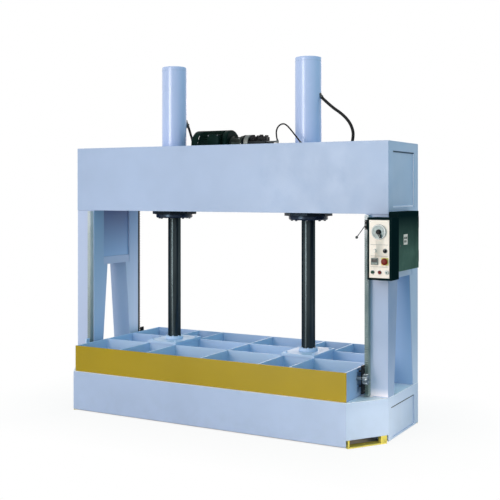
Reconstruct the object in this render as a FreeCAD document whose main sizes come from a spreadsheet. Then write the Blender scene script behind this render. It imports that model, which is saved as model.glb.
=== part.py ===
import FreeCAD, Part
import Sketcher
import math
import os
import re

from FreeCAD import Vector

# A two-cylinder cold press for veneered panels and doors.  A fabricated base carries the
# fixed table, two columns carry a box beam, and two cylinders on the beam push a ribbed
# platen down on the table.  Racks on the columns and two pinion shafts keep it level.
#
# Frame: millimetres, +Z up, X along the machine, the operator stands at -Y.
# The origin is the centre of the footprint, on the floor.

doc = FreeCAD.newDocument("HydraulicPress")
sheet = doc.addObject("Spreadsheet::Sheet", "Sizes")

SIZES = {
    # whole machine
    "frame_length": 2860,
    "frame_depth": 650,
    "beam_height": 535,
    "stroke": 1000,
    "platen_clearance": 120,
    "running_gap": 0.3,
    "fit_gap": 0.06,
    # base
    "base_length": 2450,
    "base_depth": 1250,
    "base_height": 325,
    "table_thickness": 30,
    "skirt_thickness": 8,
    "corner_gap": 48,
    "pad_height": 12,
    "pad_radius": 32,
    "pad_inset": 60,
    "pad_pitch": 640,
    "side_border": 90,
    "side_bar": 78,
    "recess_depth": 10,
    "base_beam_width": 120,
    "base_beam_flange": 14,
    "base_beam_web": 10,
    "foot_width": 70,
    "foot_thickness": 10,
    "foot_stop_short": 14,
    "foot_stop_long": 52,
    "anchor_radius": 9,
    # columns
    "column_width": 180,
    "column_setback": 4,
    "column_wall": 12,
    "post_width": 135,
    "leg_foot_width": 110,
    "leg_knee_width": 188,
    "opening_height": 855,
    "tie_bar_height": 65,
    # beam
    "beam_plate": 12,
    "beam_flange": 20,
    "end_plate": 24,
    "end_border_side": 92,
    "end_border_top": 72,
    "end_border_bottom": 45,
    "bay_half_length": 505,
    "deck_drop": 114,
    "diaphragm_notch": 60,
    # cylinders
    "cylinder_offset": 636,
    "tube_radius": 105.5,
    "bore_radius": 80,
    "cap_thickness": 23,
    "cylinder_headroom": 104,
    "cushion": 20,
    "flange_radius": 176,
    "flange_thickness": 30,
    "gland_radius": 156,
    "gland_thickness": 32,
    "flange_bolt_circle": 130,
    "flange_bolt_radius": 10,
    "bolts_per_flange": 8,
    "rod_radius": 54.5,
    "spigot_radius": 35,
    "piston_length": 110,
    # platen
    "platen_end_gap": 32,
    "table_margin": 15,
    "platen_height": 210,
    "platen_plate": 25,
    "rail_thickness": 14,
    "rib_thickness": 12,
    "rib_pair_spacing": 260,
    "long_rib_offset": 185,
    "slot_clearance": 0.4,
    "rod_plate_thickness": 22,
    "rod_plate_overhang": 14,
    "collar_radius": 74,
    "collar_height": 25,
    # levelling gear
    "gear_module": 5,
    "pinion_teeth": 14,
    "addendum_factor": 0.8,
    "pressure_angle": 20,
    "tooth_backlash": 0.5,
    "rack_thickness": 45,
    "rack_width": 30,
    "rack_inset": 9,
    "rack_foot_gap": 6,
    "pinion_width": 32,
    "pinion_side_gap": 1,
    "pinion_rise": 137,
    "sync_shaft_radius": 17.5,
    "bearing_standoff": 37,
    "bearing_width": 44,
    "bearing_thickness": 12,
    "bearing_rise": 25,
    "bearing_height": 205,
    "bearing_pin_radius": 7,
    "bearing_pin_rise": 54,
    "rib_hole_radius": 26,
    # hydraulic set
    "motor_axis_height": 132,
    "motor_radius": 120,
    "fin_height": 12,
    "fin_count": 30,
    "fin_thickness": 4,
    "motor_left": -325,
    "motor_body_length": 240,
    "shield_length": 30,
    "cowl_length": 72,
    "cowl_wall": 3,
    "motor_shaft_radius": 14,
    "fan_radius": 98,
    "bellhousing_radius": 58,
    "bellhousing_length": 115,
    "bellhousing_flange": 25,
    "pump_radius": 75,
    "pump_length": 70,
    "manifold_length": 160,
    "manifold_depth": 150,
    "manifold_drop": 4,
    # hoses
    "hose_radius": 12,
    "left_hose_radius": 10,
    "pilot_radius": 6,
    # operator's side
    "box_overhang": 77,
    "box_width": 184,
    "box_depth": 144,
    "box_top_gap": 22,
    "box_height": 445,
    "box_wall": 3,
    "box_border": 22,
    "panel_border": 17,
    "panel_thickness": 4,
    "gauge_inset": 93,
    "gauge_rise": 344,
    "gauge_radius": 54,
    "gauge_depth": 18,
    "gauge_knob_radius": 19,
    "selector_inset": 47,
    "selector_rise": 210,
    "lamp_inset": 124,
    "knob_radius": 15,
    "timer_inset": 126,
    "timer_rise": 134,
    "timer_width": 54,
    "timer_height": 48,
    "estop_inset": 49,
    "estop_rise": 135,
    "estop_radius": 24,
    "button_rise": 57,
    "button_inset": 141,
    "button_pitch": 53,
    "button_radius": 12,
    "button_travel": 5,
    "stem_radius": 8,
    "cabinet_gap": 1,
    "cabinet_depth": 434,
    "cabinet_rise": 17,
    "cabinet_height": 430,
    "door_thickness": 14,
    "hinge_radius": 6,
    "latch_inset": 137,
    "latch_rise": 226,
    "latch_width": 84,
    "latch_height": 76,
    "switch_width": 22,
    "switch_height": 70,
    "switch_drop": 88,
    "lever_reach": 68,
    "lever_drop": 90,
    "lever_radius": 3,
    "lever_ball_radius": 11,
}

for row, (alias, number) in enumerate(SIZES.items(), 1):
    sheet.set(f"A{row}", alias.replace("_", " "))
    sheet.set(f"B{row}", str(number))
    sheet.setAlias(f"B{row}", alias)
doc.recompute()

# ---------------------------------------------------------------------------
# Places that several pieces share, as formulas of the sizes above.

HALF_LENGTH = "frame_length / 2"
FACE_Y = "(frame_depth / 2)"
COLUMN_FACE = "(frame_depth / 2 - column_setback)"
COLUMN_INNER = "(frame_length / 2 - column_width)"
BEAM_BOTTOM = "(base_height + platen_height + stroke + platen_clearance)"
BEAM_TOP = f"({BEAM_BOTTOM} + beam_height)"
OPENING_TOP = "(base_height + opening_height)"
DECK = f"({BEAM_TOP} - deck_drop)"
GLAND_TOP = f"({BEAM_BOTTOM} - flange_thickness)"
TUBE_LENGTH = "(cushion + piston_length + stroke + cylinder_headroom)"
PLATEN_BOTTOM = "(base_height + running_gap)"
PLATEN_TOP = "(base_height + platen_height)"
ROD_PLATE_TOP = f"({PLATEN_TOP} + rod_plate_thickness)"
PISTON_BOTTOM = f"({GLAND_TOP} + cushion)"
PITCH_RADIUS = "(gear_module * pinion_teeth / 2)"
PINION_Y = f"({COLUMN_FACE} + rack_thickness - addendum_factor * gear_module + {PITCH_RADIUS})"
PLATEN_END = f"({COLUMN_INNER} - platen_end_gap)"
PLATEN_SIDE = "(base_depth / 2 - table_margin)"
BEARING_INNER = f"({PLATEN_END} + bearing_standoff)"
BEARING_OUTER = f"({BEARING_INNER} + bearing_thickness)"
PINION_INNER = f"({BEARING_OUTER} + pinion_side_gap)"
PINION_Z = "(base_height + pinion_rise)"
MOTOR_Z = f"({DECK} + motor_axis_height)"
BOX_OUTER = f"({HALF_LENGTH} + box_overhang)"
BOX_INNER = f"({BOX_OUTER} - box_width)"
BOX_TOP = f"({BEAM_BOTTOM} - box_top_gap)"
BOX_BOTTOM = f"({BOX_TOP} - box_height)"
PANEL_Y = f"({FACE_Y} + box_depth)"
CUT_LENGTH = "((frame_length - base_length) / 2)"
CUT_DEPTH = "((base_depth - frame_depth) / 2)"
CUT_ANGLE = f"atan2({CUT_DEPTH}; {CUT_LENGTH})"
END_ANGLE = f"atan2({CUT_LENGTH}; {CUT_DEPTH})"


def formula(text):
    """Writes a formula of size names as an expression on the sheet."""
    return re.sub(r"[a-z_]{3,}", lambda word: "Sizes." + word.group()
                  if word.group() in SIZES else word.group(), str(text))


def value(text):
    """The number that a formula of size names gives now."""
    number = sheet.evalExpression(formula(text))
    return float(getattr(number, "Value", number))


def bind(thing, property_name, text):
    thing.setExpression(property_name, formula(text))


def place(thing, x=0, y=0, z=0):
    for axis, text in zip("xyz", (x, y, z)):
        bind(thing, f"Placement.Base.{axis}", text)
    return thing


NODES = []


def node(thing, name):
    """Marks an object as a finished piece of the press."""
    thing.Label = name
    NODES.append(thing)
    return thing


# ---------------------------------------------------------------------------
# Ways of making a piece.

def block(x, y, z):
    """A plain plate or bar between two formulas along each axis."""
    thing = doc.addObject("Part::Box", "Block")
    for property_name, (low, high) in zip(("Length", "Width", "Height"), (x, y, z)):
        bind(thing, property_name, f"({high}) - ({low})")
    return place(thing, x[0], y[0], z[0])


TURNS = {
    "x": FreeCAD.Rotation(Vector(0, 1, 0), 90),
    "y": FreeCAD.Rotation(Vector(1, 0, 0), -90),
    "z": FreeCAD.Rotation(),
}


def bar(axis, radius, length, x, y, z):
    """A round bar from (x, y, z) along the positive side of one axis."""
    thing = doc.addObject("Part::Cylinder", "Bar")
    bind(thing, "Radius", radius)
    bind(thing, "Height", length)
    thing.Placement.Rotation = TURNS[axis]
    return place(thing, x, y, z)


def prism_bar(sides, radius, length, x, y, z):
    """An upright bar of regular section."""
    thing = doc.addObject("Part::Prism", "PrismBar")
    thing.Polygon = sides
    bind(thing, "Circumradius", radius)
    bind(thing, "Height", length)
    return place(thing, x, y, z)


def cut(base, *tools):
    thing = doc.addObject("Part::Cut", "Cut")
    thing.Base = base
    thing.Tool = tools[0] if len(tools) == 1 else group(*tools)
    return thing


def join(*parts):
    thing = doc.addObject("Part::MultiFuse", "Join")
    thing.Shapes = list(parts)
    thing.Refine = True
    return thing


def group(*parts):
    """Several separate solids kept as one piece of the list."""
    thing = doc.addObject("Part::Compound", "Group")
    thing.Links = list(parts)
    return thing


def mirror(source, *axes):
    """The piece seen in a mirror across each named axis in turn."""
    for axis in axes:
        thing = doc.addObject("Part::Mirroring", "Mirror")
        thing.Source = source
        thing.Normal = {"x": Vector(1, 0, 0), "y": Vector(0, 1, 0)}[axis]
        source = thing
    return source


def four_corners(source):
    return group(source, mirror(source, "x"), mirror(source, "y"), mirror(source, "x", "y"))


def profile(body, role, points):
    """A closed outline of straight edges, each corner bound to two formulas."""
    sketch = body.newObject("Sketcher::SketchObject", "Outline")
    plane = [item for item in body.Origin.OriginFeatures if item.Role == role][0]
    sketch.AttachmentSupport = (plane, [""])
    sketch.MapMode = "FlatFace"
    corners = [Vector(value(across), value(along), 0) for across, along in points]
    count = len(corners)
    for index in range(count):
        sketch.addGeometry(Part.LineSegment(corners[index], corners[(index + 1) % count]))
    for index in range(count):
        sketch.addConstraint(Sketcher.Constraint("Coincident", index, 2, (index + 1) % count, 1))
    for index, texts in enumerate(points):
        for kind, text in zip(("DistanceX", "DistanceY"), texts):
            rule = Sketcher.Constraint(kind, -1, 1, index, 1, value(text))
            number = sketch.addConstraint(rule)
            sketch.setExpression(f"Constraints[{number}]", formula(text))
    return sketch


def pad(body, role, points, length, midplane=False):
    thing = body.newObject("PartDesign::Pad", "Pad")
    thing.Profile = profile(body, role, points)
    thing.Midplane = midplane
    bind(thing, "Length", length)
    return thing


def pocket(body, role, points, length, midplane=False, downward=False):
    thing = body.newObject("PartDesign::Pocket", "Pocket")
    thing.Profile = profile(body, role, points)
    thing.Midplane = midplane
    thing.Reversed = downward
    bind(thing, "Length", length)
    return thing


def new_body():
    return doc.addObject("PartDesign::Body", "Body")


def turned(points):
    """A piece turned about the Z axis from half its section: radius, height."""
    body = new_body()
    thing = body.newObject("PartDesign::Revolution", "Turned")
    sketch = profile(body, "XZ_Plane", points)
    thing.Profile = sketch
    thing.ReferenceAxis = (sketch, ["V_Axis"])
    thing.Angle = 360
    return body


def drawn(shape):
    """A piece whose outline comes from a rule worked out in code."""
    thing = doc.addObject("Part::Feature", "Drawn")
    thing.Shape = shape
    return thing


# ---------------------------------------------------------------------------
# Base: table plate, beams under it, skirt panels, pads and yellow corner feet.

def octagon(inset):
    """The footprint with its four cut corners, drawn in by an inset."""
    half_x = f"(frame_length / 2 - {inset})"
    half_y = f"(base_depth / 2 - {inset})"
    near_x = f"(base_length / 2 - {inset} * tan({CUT_ANGLE} / 2))"
    near_y = f"(frame_depth / 2 - {inset} * tan({END_ANGLE} / 2))"
    return [(f"-{near_x}", f"-{half_y}"), (near_x, f"-{half_y}"),
            (half_x, f"-{near_y}"), (half_x, near_y),
            (near_x, half_y), (f"-{near_x}", half_y),
            (f"-{half_x}", near_y), (f"-{half_x}", f"-{near_y}")]


def make_base():
    table = new_body()
    pad(table, "XY_Plane", octagon("0"), "table_thickness")
    node(place(table, z="base_height - table_thickness"), "table_plate")

    under = "base_height - table_thickness"
    reach = "(base_length / 2 - foot_width / 2)"

    def skirt_panel(first, bottom):
        """A panel along one side of the footprint, mitred where it meets the next."""
        outer = octagon("0")
        inner = octagon("skirt_thickness")
        second = (first + 1) % len(outer)
        panel = new_body()
        corners = [outer[first], outer[second], inner[second], inner[first]]
        pad(panel, "XY_Plane", corners, f"{under} - ({bottom})")
        return place(panel, z=bottom)

    front = skirt_panel(0, "pad_height")
    node(group(front, mirror(front, "y")), "base_long_panels")
    corner = skirt_panel(1, "pad_height + corner_gap")
    node(four_corners(corner), "base_corner_panels")

    side = skirt_panel(2, "pad_height")
    window_y = "(frame_depth / 2 - side_border)"
    window = block(("frame_length / 2 - skirt_thickness - 1", "frame_length / 2 + 1"),
                   (f"-{window_y}", window_y), ("2 * pad_height", f"{under} + table_thickness - side_bar"))
    backing = block((f"{HALF_LENGTH} - skirt_thickness - recess_depth", f"{HALF_LENGTH} - skirt_thickness"),
                    (f"-{window_y} - recess_depth", f"{window_y} + recess_depth"), ("pad_height", under))
    side = join(cut(side, window), backing)
    node(group(side, mirror(side, "x")), "base_side_panels")

    def joist(half_length, centre_y):
        """An I-section beam along X, welded from two flanges and a web."""
        span = (f"-({half_length})", half_length)
        wide = (f"{centre_y} - base_beam_width / 2", f"{centre_y} + base_beam_width / 2")
        thin = (f"{centre_y} - base_beam_web / 2", f"{centre_y} + base_beam_web / 2")
        return group(block(span, wide, ("pad_height", "pad_height + base_beam_flange")),
                     block(span, thin, ("pad_height + base_beam_flange", f"{under} - base_beam_flange")),
                     block(span, wide, (f"{under} - base_beam_flange", under)))

    edge_y = "(base_depth / 2 - pad_inset - 2 * skirt_thickness)"
    edge_joist = joist(reach, edge_y)
    middle_joist = joist(f"{COLUMN_INNER} - base_beam_width", "0")
    bearer_x = f"({COLUMN_INNER} - base_beam_web)"
    bearer = block((bearer_x, f"{HALF_LENGTH} - 3 * recess_depth"),
                   (f"-{FACE_Y} + foot_width / 2", f"{FACE_Y} - foot_width / 2"),
                   ("pad_height", under))
    node(group(edge_joist, mirror(edge_joist, "y"), middle_joist,
               bearer, mirror(bearer, "x")), "base_beams")

    def levelling_pad(x, y):
        return prism_bar(20, "pad_radius", "pad_height", x, y, 0)

    inner_pad = levelling_pad("pad_pitch", edge_y)
    outer_pad = levelling_pad(f"{reach} - pad_inset", edge_y)
    side_pad = levelling_pad(f"{HALF_LENGTH} - 3 * recess_depth - pad_radius",
                             f"{FACE_Y} - foot_width / 2 - pad_radius")
    pads = [levelling_pad("0", "0")]
    for first in (inner_pad, outer_pad, side_pad):
        pads += [first, mirror(first, "x"), mirror(first, "y"), mirror(first, "x", "y")]
    node(group(*pads), "levelling_pads")

    # A foot is a flat bar under the cut corner with a stop at each end that carries the
    # panel above it; the bar has the hole for an anchor bolt.
    length = f"sqrt({CUT_LENGTH}^2 + {CUT_DEPTH}^2)"
    low, high = "pad_radius / 2", f"({length} - foot_stop_short)"
    height = ("foot_thickness", "pad_height + corner_gap")
    hole = bar("z", "anchor_radius", "foot_thickness + 2", f"{length} / 2", "foot_width / 2", "-1")
    flat = cut(block((low, high), ("0", "foot_width"), ("0", "foot_thickness")), hole)
    foot = group(flat, block((low, f"{low} + foot_stop_short"), ("0", "foot_width / 2"), height),
                 block((f"{high} - foot_stop_long", high), ("0", "foot_width / 2"), height))
    bind(foot, "Placement.Rotation.Angle", CUT_ANGLE)
    place(foot, "base_length / 2", "-base_depth / 2", 0)
    node(four_corners(foot), "corner_feet")


# ---------------------------------------------------------------------------
# Columns: two tapered box legs each, with a recessed header panel between them.

def make_columns():
    face = COLUMN_FACE
    leg = new_body()
    outline = [(f"-{face}", "base_height"), (f"-{face} + leg_foot_width", "base_height"),
               (f"-{face} + leg_knee_width", OPENING_TOP), (f"-{face} + post_width", OPENING_TOP),
               (f"-{face} + post_width", BEAM_BOTTOM), (f"-{face}", BEAM_BOTTOM)]
    pad(leg, "YZ_Plane", outline, "column_width", midplane=True)
    wall = "column_wall"
    hollow = [(f"-{face} + {wall}", "base_height - 1"),
              (f"-{face} + leg_foot_width - {wall}", "base_height - 1"),
              (f"-{face} + leg_knee_width - {wall}", f"{OPENING_TOP} - {wall}"),
              (f"-{face} + post_width - {wall}", f"{OPENING_TOP} - {wall}"),
              (f"-{face} + post_width - {wall}", f"{BEAM_BOTTOM} + 1"),
              (f"-{face} + {wall}", f"{BEAM_BOTTOM} + 1")]
    leg.Tip = pocket(leg, "YZ_Plane", hollow, f"column_width - 2 * {wall}", midplane=True)
    place(leg, f"{HALF_LENGTH} - column_width / 2")
    node(group(mirror(leg, "x"), mirror(leg, "x", "y")), "column_left_legs")
    node(group(leg, mirror(leg, "y")), "column_right_legs")

    between = (f"-{face} + post_width", f"{face} - post_width")
    inset = (f"{COLUMN_INNER} + recess_depth", f"{HALF_LENGTH} - recess_depth")
    panel = block(inset, between, (OPENING_TOP, BEAM_BOTTOM))
    tie_bar = block((f"{COLUMN_INNER} + recess_depth / 4", f"{HALF_LENGTH} - recess_depth / 4"), between,
                    (OPENING_TOP, f"{OPENING_TOP} + tie_bar_height"))
    header = join(panel, tie_bar)
    node(group(mirror(header, "x"), header), "column_headers")


# ---------------------------------------------------------------------------
# Box beam with an open bay in its top for the tank, motor and pump.

def make_beam():
    top, bottom = BEAM_TOP, BEAM_BOTTOM
    inner_y = f"({FACE_Y} - beam_plate)"
    inner_x = f"({HALF_LENGTH} - end_plate)"
    across = (f"-{inner_y}", inner_y)

    web = block((f"-({HALF_LENGTH})", HALF_LENGTH), (f"-{FACE_Y}", f"-{inner_y}"), (bottom, top))
    node(web, "beam_front_plate")
    node(mirror(web, "y"), "beam_rear_plate")

    def tube_hole(low, height):
        return bar("z", "tube_radius + running_gap", height, "cylinder_offset", "0", low)

    flange = block((f"-{inner_x}", inner_x), across, (bottom, f"{bottom} + beam_flange"))
    hole = tube_hole(f"{bottom} - 1", "beam_flange + 2")
    node(cut(flange, hole, mirror(hole, "x")), "beam_bottom_plate")

    lid = block(("bay_half_length", inner_x), across, (f"{top} - beam_plate", top))
    lid = cut(lid, tube_hole(f"{top} - beam_plate - 1", "beam_plate + 2"))
    node(group(mirror(lid, "x"), lid), "beam_top_plates")

    plate = block((inner_x, HALF_LENGTH), across, (bottom, top))
    window = block((f"{HALF_LENGTH} - recess_depth", f"{HALF_LENGTH} + 1"),
                   (f"-{FACE_Y} + end_border_side", f"{FACE_Y} - end_border_side"),
                   (f"{bottom} + end_border_bottom", f"{top} - end_border_top"))
    end = cut(plate, window)
    node(group(mirror(end, "x"), end), "beam_end_plates")

    # Each diaphragm has its top corners cut away to clear the long welds.
    diaphragm = new_body()
    low, high = f"{bottom} + beam_flange", f"{top} - beam_plate"
    notch = f"({inner_y} - diaphragm_notch)"
    outline = [(f"-{inner_y}", low), (inner_y, low), (inner_y, f"{high} - diaphragm_notch"),
               (notch, high), (f"-{notch}", high), (f"-{inner_y}", f"{high} - diaphragm_notch")]
    pad(diaphragm, "YZ_Plane", outline, "beam_plate")
    place(diaphragm, "bay_half_length")
    beyond = new_body()
    pad(beyond, "YZ_Plane", outline, "beam_plate")
    place(beyond, "2 * cylinder_offset - bay_half_length")
    node(group(diaphragm, beyond, mirror(diaphragm, "x"), mirror(beyond, "x")), "beam_diaphragms")

    tank_x = "(bay_half_length - 2 * beam_plate)"
    tank_y = f"({inner_y} - 2 * beam_plate)"
    tank = block((f"-{tank_x}", tank_x), (f"-{tank_y}", tank_y),
                 (f"{bottom} + beam_flange", f"{DECK} - beam_plate"))
    lid_x = "(bay_half_length - running_gap)"
    deck = block((f"-{lid_x}", lid_x), (f"-{inner_y} + running_gap", f"{inner_y} - running_gap"),
                 (f"{DECK} - beam_plate", DECK))
    filler = bar("z", "motor_shaft_radius * 2", "motor_axis_height / 2",
                 "bay_half_length - motor_radius", f"{inner_y} - motor_radius", DECK)
    node(group(join(tank, deck), filler), "oil_tank")


# ---------------------------------------------------------------------------
# Cylinders on the beam, with their flanges, glands, pistons and rods.

def pair_at_cylinders(thing):
    place(thing, "cylinder_offset")
    return group(thing, mirror(thing, "x"))


def make_cylinders():
    tube_top = f"({GLAND_TOP} + {TUBE_LENGTH})"
    tube = turned([("bore_radius", GLAND_TOP), ("tube_radius", GLAND_TOP),
                   ("tube_radius", f"{tube_top} + cap_thickness - 8"),
                   ("tube_radius - 8", f"{tube_top} + cap_thickness"),
                   ("0", f"{tube_top} + cap_thickness"), ("0", tube_top),
                   ("bore_radius", tube_top)])
    node(pair_at_cylinders(tube), "cylinder_tubes")

    # The flange is a plate with its corners cut, bolted up against the beam.
    reach, short = "flange_radius", "(flange_radius * 0.42)"
    flange = new_body()
    outline = [(reach, f"-{short}"), (reach, short), (short, reach), (f"-{short}", reach),
               (f"-{reach}", short), (f"-{reach}", f"-{short}"), (f"-{short}", f"-{reach}"),
               (short, f"-{reach}")]
    pad(flange, "XY_Plane", outline, "flange_thickness")
    place(flange, z=GLAND_TOP)
    bore = bar("z", "tube_radius + running_gap", "flange_thickness + 2", 0, 0, f"{GLAND_TOP} - 1")
    node(pair_at_cylinders(cut(flange, bore)), "cylinder_flanges")

    gland_low = f"{GLAND_TOP} - gland_thickness"
    gland = turned([("rod_radius + fit_gap", gland_low), ("gland_radius - 6", gland_low),
                    ("gland_radius", f"{gland_low} + 6"), ("gland_radius", GLAND_TOP),
                    ("rod_radius + fit_gap", GLAND_TOP)])
    node(pair_at_cylinders(gland), "cylinder_glands")

    bolts = []
    for index in range(int(SIZES["bolts_per_flange"])):
        turn = f"(({index} + 0.5) * 360 / {SIZES['bolts_per_flange']})"
        x = f"cylinder_offset + flange_bolt_circle * cos({turn})"
        y = f"flange_bolt_circle * sin({turn})"
        head = prism_bar(6, "flange_bolt_radius", "flange_bolt_radius * 1.2", x, y,
                         f"{gland_low} - flange_bolt_radius * 1.2")
        bolts += [head, mirror(head, "x")]
    node(group(*bolts), "flange_bolts")

    rod_top = f"({PISTON_BOTTOM} + piston_length)"
    rod = turned([("0", PLATEN_TOP), ("spigot_radius", PLATEN_TOP), ("spigot_radius", ROD_PLATE_TOP),
                  ("rod_radius", ROD_PLATE_TOP), ("rod_radius", PISTON_BOTTOM),
                  ("spigot_radius", PISTON_BOTTOM), ("spigot_radius", rod_top), ("0", rod_top)])
    node(pair_at_cylinders(rod), "piston_rods")

    piston = turned([("spigot_radius", PISTON_BOTTOM), ("bore_radius - fit_gap", PISTON_BOTTOM),
                     ("bore_radius - fit_gap", rod_top), ("spigot_radius", rod_top)])
    node(pair_at_cylinders(piston), "pistons")

    collar_top = f"{ROD_PLATE_TOP} + collar_height"
    collar = turned([("rod_radius", ROD_PLATE_TOP), ("collar_radius", ROD_PLATE_TOP),
                     ("collar_radius", f"{collar_top} - 4"), ("collar_radius - 4", collar_top),
                     ("rod_radius", collar_top)])
    node(pair_at_cylinders(collar), "rod_collars")


# ---------------------------------------------------------------------------
# Platen: a plate with an egg-crate of ribs between its edge plates.

def make_platen():
    half_x, half_y = PLATEN_END, PLATEN_SIDE
    bed_top = f"({PLATEN_BOTTOM} + platen_plate)"
    inner_y = f"({half_y} - rail_thickness)"
    inner_x = f"({half_x} - rail_thickness)"
    upright = (bed_top, PLATEN_TOP)

    node(block((f"-{half_x}", half_x), (f"-{inner_y}", half_y), (PLATEN_BOTTOM, bed_top)), "platen_plate")
    node(block((f"-{half_x}", half_x), (f"-{half_y}", f"-{inner_y}"), (PLATEN_BOTTOM, PLATEN_TOP)),
         "platen_front_rail")

    shaft_hole = bar("x", "sync_shaft_radius + running_gap", "rail_thickness + 2", f"{inner_x} - 1",
                     f"-{PINION_Y}", PINION_Z)
    end = block((inner_x, half_x), (f"-{inner_y}", inner_y), upright)
    end = cut(end, shaft_hole, mirror(shaft_hole, "y"))
    back = block((f"-{half_x}", half_x), (inner_y, half_y), upright)
    node(group(end, mirror(end, "x"), back), "platen_edge_plates")

    # Long ribs are slotted from the top and cross ribs from the bottom, to half height, so
    # that they drop into each other before they are welded.
    rib_height = f"({PLATEN_TOP} - {bed_top})"
    slot = "(rib_thickness / 2 + slot_clearance)"
    pair_low = "(cylinder_offset - rib_pair_spacing / 2)"
    pair_high = "(cylinder_offset + rib_pair_spacing / 2)"
    stations = [f"-{pair_high}", f"-{pair_low}", "0", pair_low, pair_high]

    long_rib = block((f"-{inner_x}", inner_x),
                     ("-long_rib_offset - rib_thickness / 2", "-long_rib_offset + rib_thickness / 2"),
                     upright)
    slots = [block((f"{station} - {slot}", f"{station} + {slot}"),
                   ("-long_rib_offset - rib_thickness", "-long_rib_offset + rib_thickness"),
                   (f"{bed_top} + {rib_height} / 2", f"{PLATEN_TOP} + 1")) for station in stations]
    long_rib = cut(long_rib, *slots)
    node(group(long_rib, mirror(long_rib, "y")), "platen_long_ribs")

    ribs = []
    for station in stations:
        rib = block((f"{station} - rib_thickness / 2", f"{station} + rib_thickness / 2"),
                    (f"-{inner_y}", inner_y), upright)
        notch = block((f"{station} - rib_thickness", f"{station} + rib_thickness"),
                      (f"-long_rib_offset - {slot}", f"-long_rib_offset + {slot}"),
                      (f"{bed_top} - 1", f"{bed_top} + {rib_height} / 2"))
        pass_hole = bar("x", "rib_hole_radius", "rib_thickness * 2", f"{station} - rib_thickness",
                        f"-{PINION_Y}", PINION_Z)
        ribs.append(cut(rib, notch, mirror(notch, "y"), pass_hole, mirror(pass_hole, "y")))
    node(group(*ribs), "platen_cross_ribs")

    # A thick plate over each pair of ribs takes the push of its piston rod.
    reach_x = "(rib_pair_spacing / 2 + rod_plate_overhang)"
    reach_y = "(long_rib_offset + rod_plate_overhang)"
    seat = block((f"cylinder_offset - {reach_x}", f"cylinder_offset + {reach_x}"),
                 (f"-{reach_y}", reach_y), (PLATEN_TOP, ROD_PLATE_TOP))
    seat = cut(seat, bar("z", "spigot_radius", "rod_plate_thickness + 2", "cylinder_offset", 0,
                         f"{PLATEN_TOP} - 1"))
    node(group(seat, mirror(seat, "x")), "rod_plates")


# ---------------------------------------------------------------------------
# Levelling gear: racks on the columns, and two shafts with pinions on the platen.

def involute_point(base_radius, radius, shift):
    """The point of the involute at a radius, turned by a shift in radians."""
    roll = math.sqrt(max((radius / base_radius) ** 2 - 1, 0))
    angle = roll - math.atan(roll) + shift
    return radius * math.cos(angle), radius * math.sin(angle)


def pinion_outline():
    """The tooth profile round the pinion, its first tooth pointing along +X."""
    module, teeth = value("gear_module"), int(value("pinion_teeth"))
    pitch_radius = module * teeth / 2
    slope = math.radians(value("pressure_angle"))
    base_radius = pitch_radius * math.cos(slope)
    tip_radius = pitch_radius + value("addendum_factor") * module
    root_radius = pitch_radius - module - value("running_gap")
    half_tooth = (math.pi * module - value("tooth_backlash")) / 4 / pitch_radius
    half_base = half_tooth + math.tan(slope) - slope
    start = max(base_radius, root_radius)
    flank = [start + (tip_radius - start) * share for share in (0, 0.35, 0.7, 1)]
    points = []
    for tooth in range(teeth):
        centre = 2 * math.pi * tooth / teeth
        half_root = min(half_base, math.pi / teeth * 0.86)
        rising = [(root_radius, -half_root)] + [(radius, None) for radius in flank]
        side = []
        for radius, angle in rising:
            if angle is None:
                x, y = involute_point(base_radius, radius, 0)
                angle = math.atan2(y, x) - half_base
            side.append((radius, angle))
        side += [(radius, -angle) for radius, angle in reversed(side)]
        points += [(radius * math.cos(centre + angle), radius * math.sin(centre + angle))
                   for radius, angle in side]
    return points


def prism(points, direction):
    wire = Part.makePolygon(points + [points[0]])
    return Part.Face(wire).extrude(direction)


def make_rack():
    """A rack on the right column's front face, with a gap level with the pinion's centre."""
    module = value("gear_module")
    pitch = math.pi * module
    addendum = value("addendum_factor") * module
    depth = addendum + module + value("running_gap")
    slope = math.tan(math.radians(value("pressure_angle")))
    back, tip = -value(COLUMN_FACE), -value(f"{COLUMN_FACE} + rack_thickness")
    root, pitch_line = tip + depth, tip + addendum
    low = value("base_height + rack_foot_gap")
    high = value(f"{BEAM_BOTTOM} - rack_foot_gap")
    centre = value(PINION_Z)
    half_gap = pitch / 4
    at_tip = half_gap + addendum * slope
    at_root = half_gap - (depth - addendum) * slope
    first = math.ceil((low + at_tip - centre) / pitch)
    last = math.floor((high - at_tip - centre) / pitch)
    points = [(back, low), (tip, low)]
    for step in range(first, last + 1):
        middle = centre + step * pitch
        points += [(tip, middle - at_tip), (root, middle - at_root),
                   (root, middle + at_root), (tip, middle + at_tip)]
    points += [(tip, high), (back, high)]
    inner = value(f"{COLUMN_INNER} + rack_inset")
    solid = prism([Vector(inner, y, z) for y, z in points], Vector(value("rack_width"), 0, 0))
    return drawn(solid)


def make_sync_shaft():
    """The front shaft with a pinion keyed on each end."""
    inner = value(PINION_INNER)
    width = value("pinion_width")
    y, z = -value(PINION_Y), value(PINION_Z)
    outline = [Vector(inner, y + across, z + along) for across, along in pinion_outline()]
    blank = prism(outline, Vector(width, 0, 0))
    radius = value("sync_shaft_radius")
    bore = Part.makeCylinder(radius, width + 2, Vector(inner - 1, y, z), Vector(1, 0, 0))
    right = drawn(blank.cut(bore))
    reach = f"({PINION_INNER} + pinion_width)"
    shaft = bar("x", "sync_shaft_radius", f"2 * {reach}", f"-{reach}", f"-{PINION_Y}", PINION_Z)
    return group(shaft, right, mirror(right, "x"))


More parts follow.
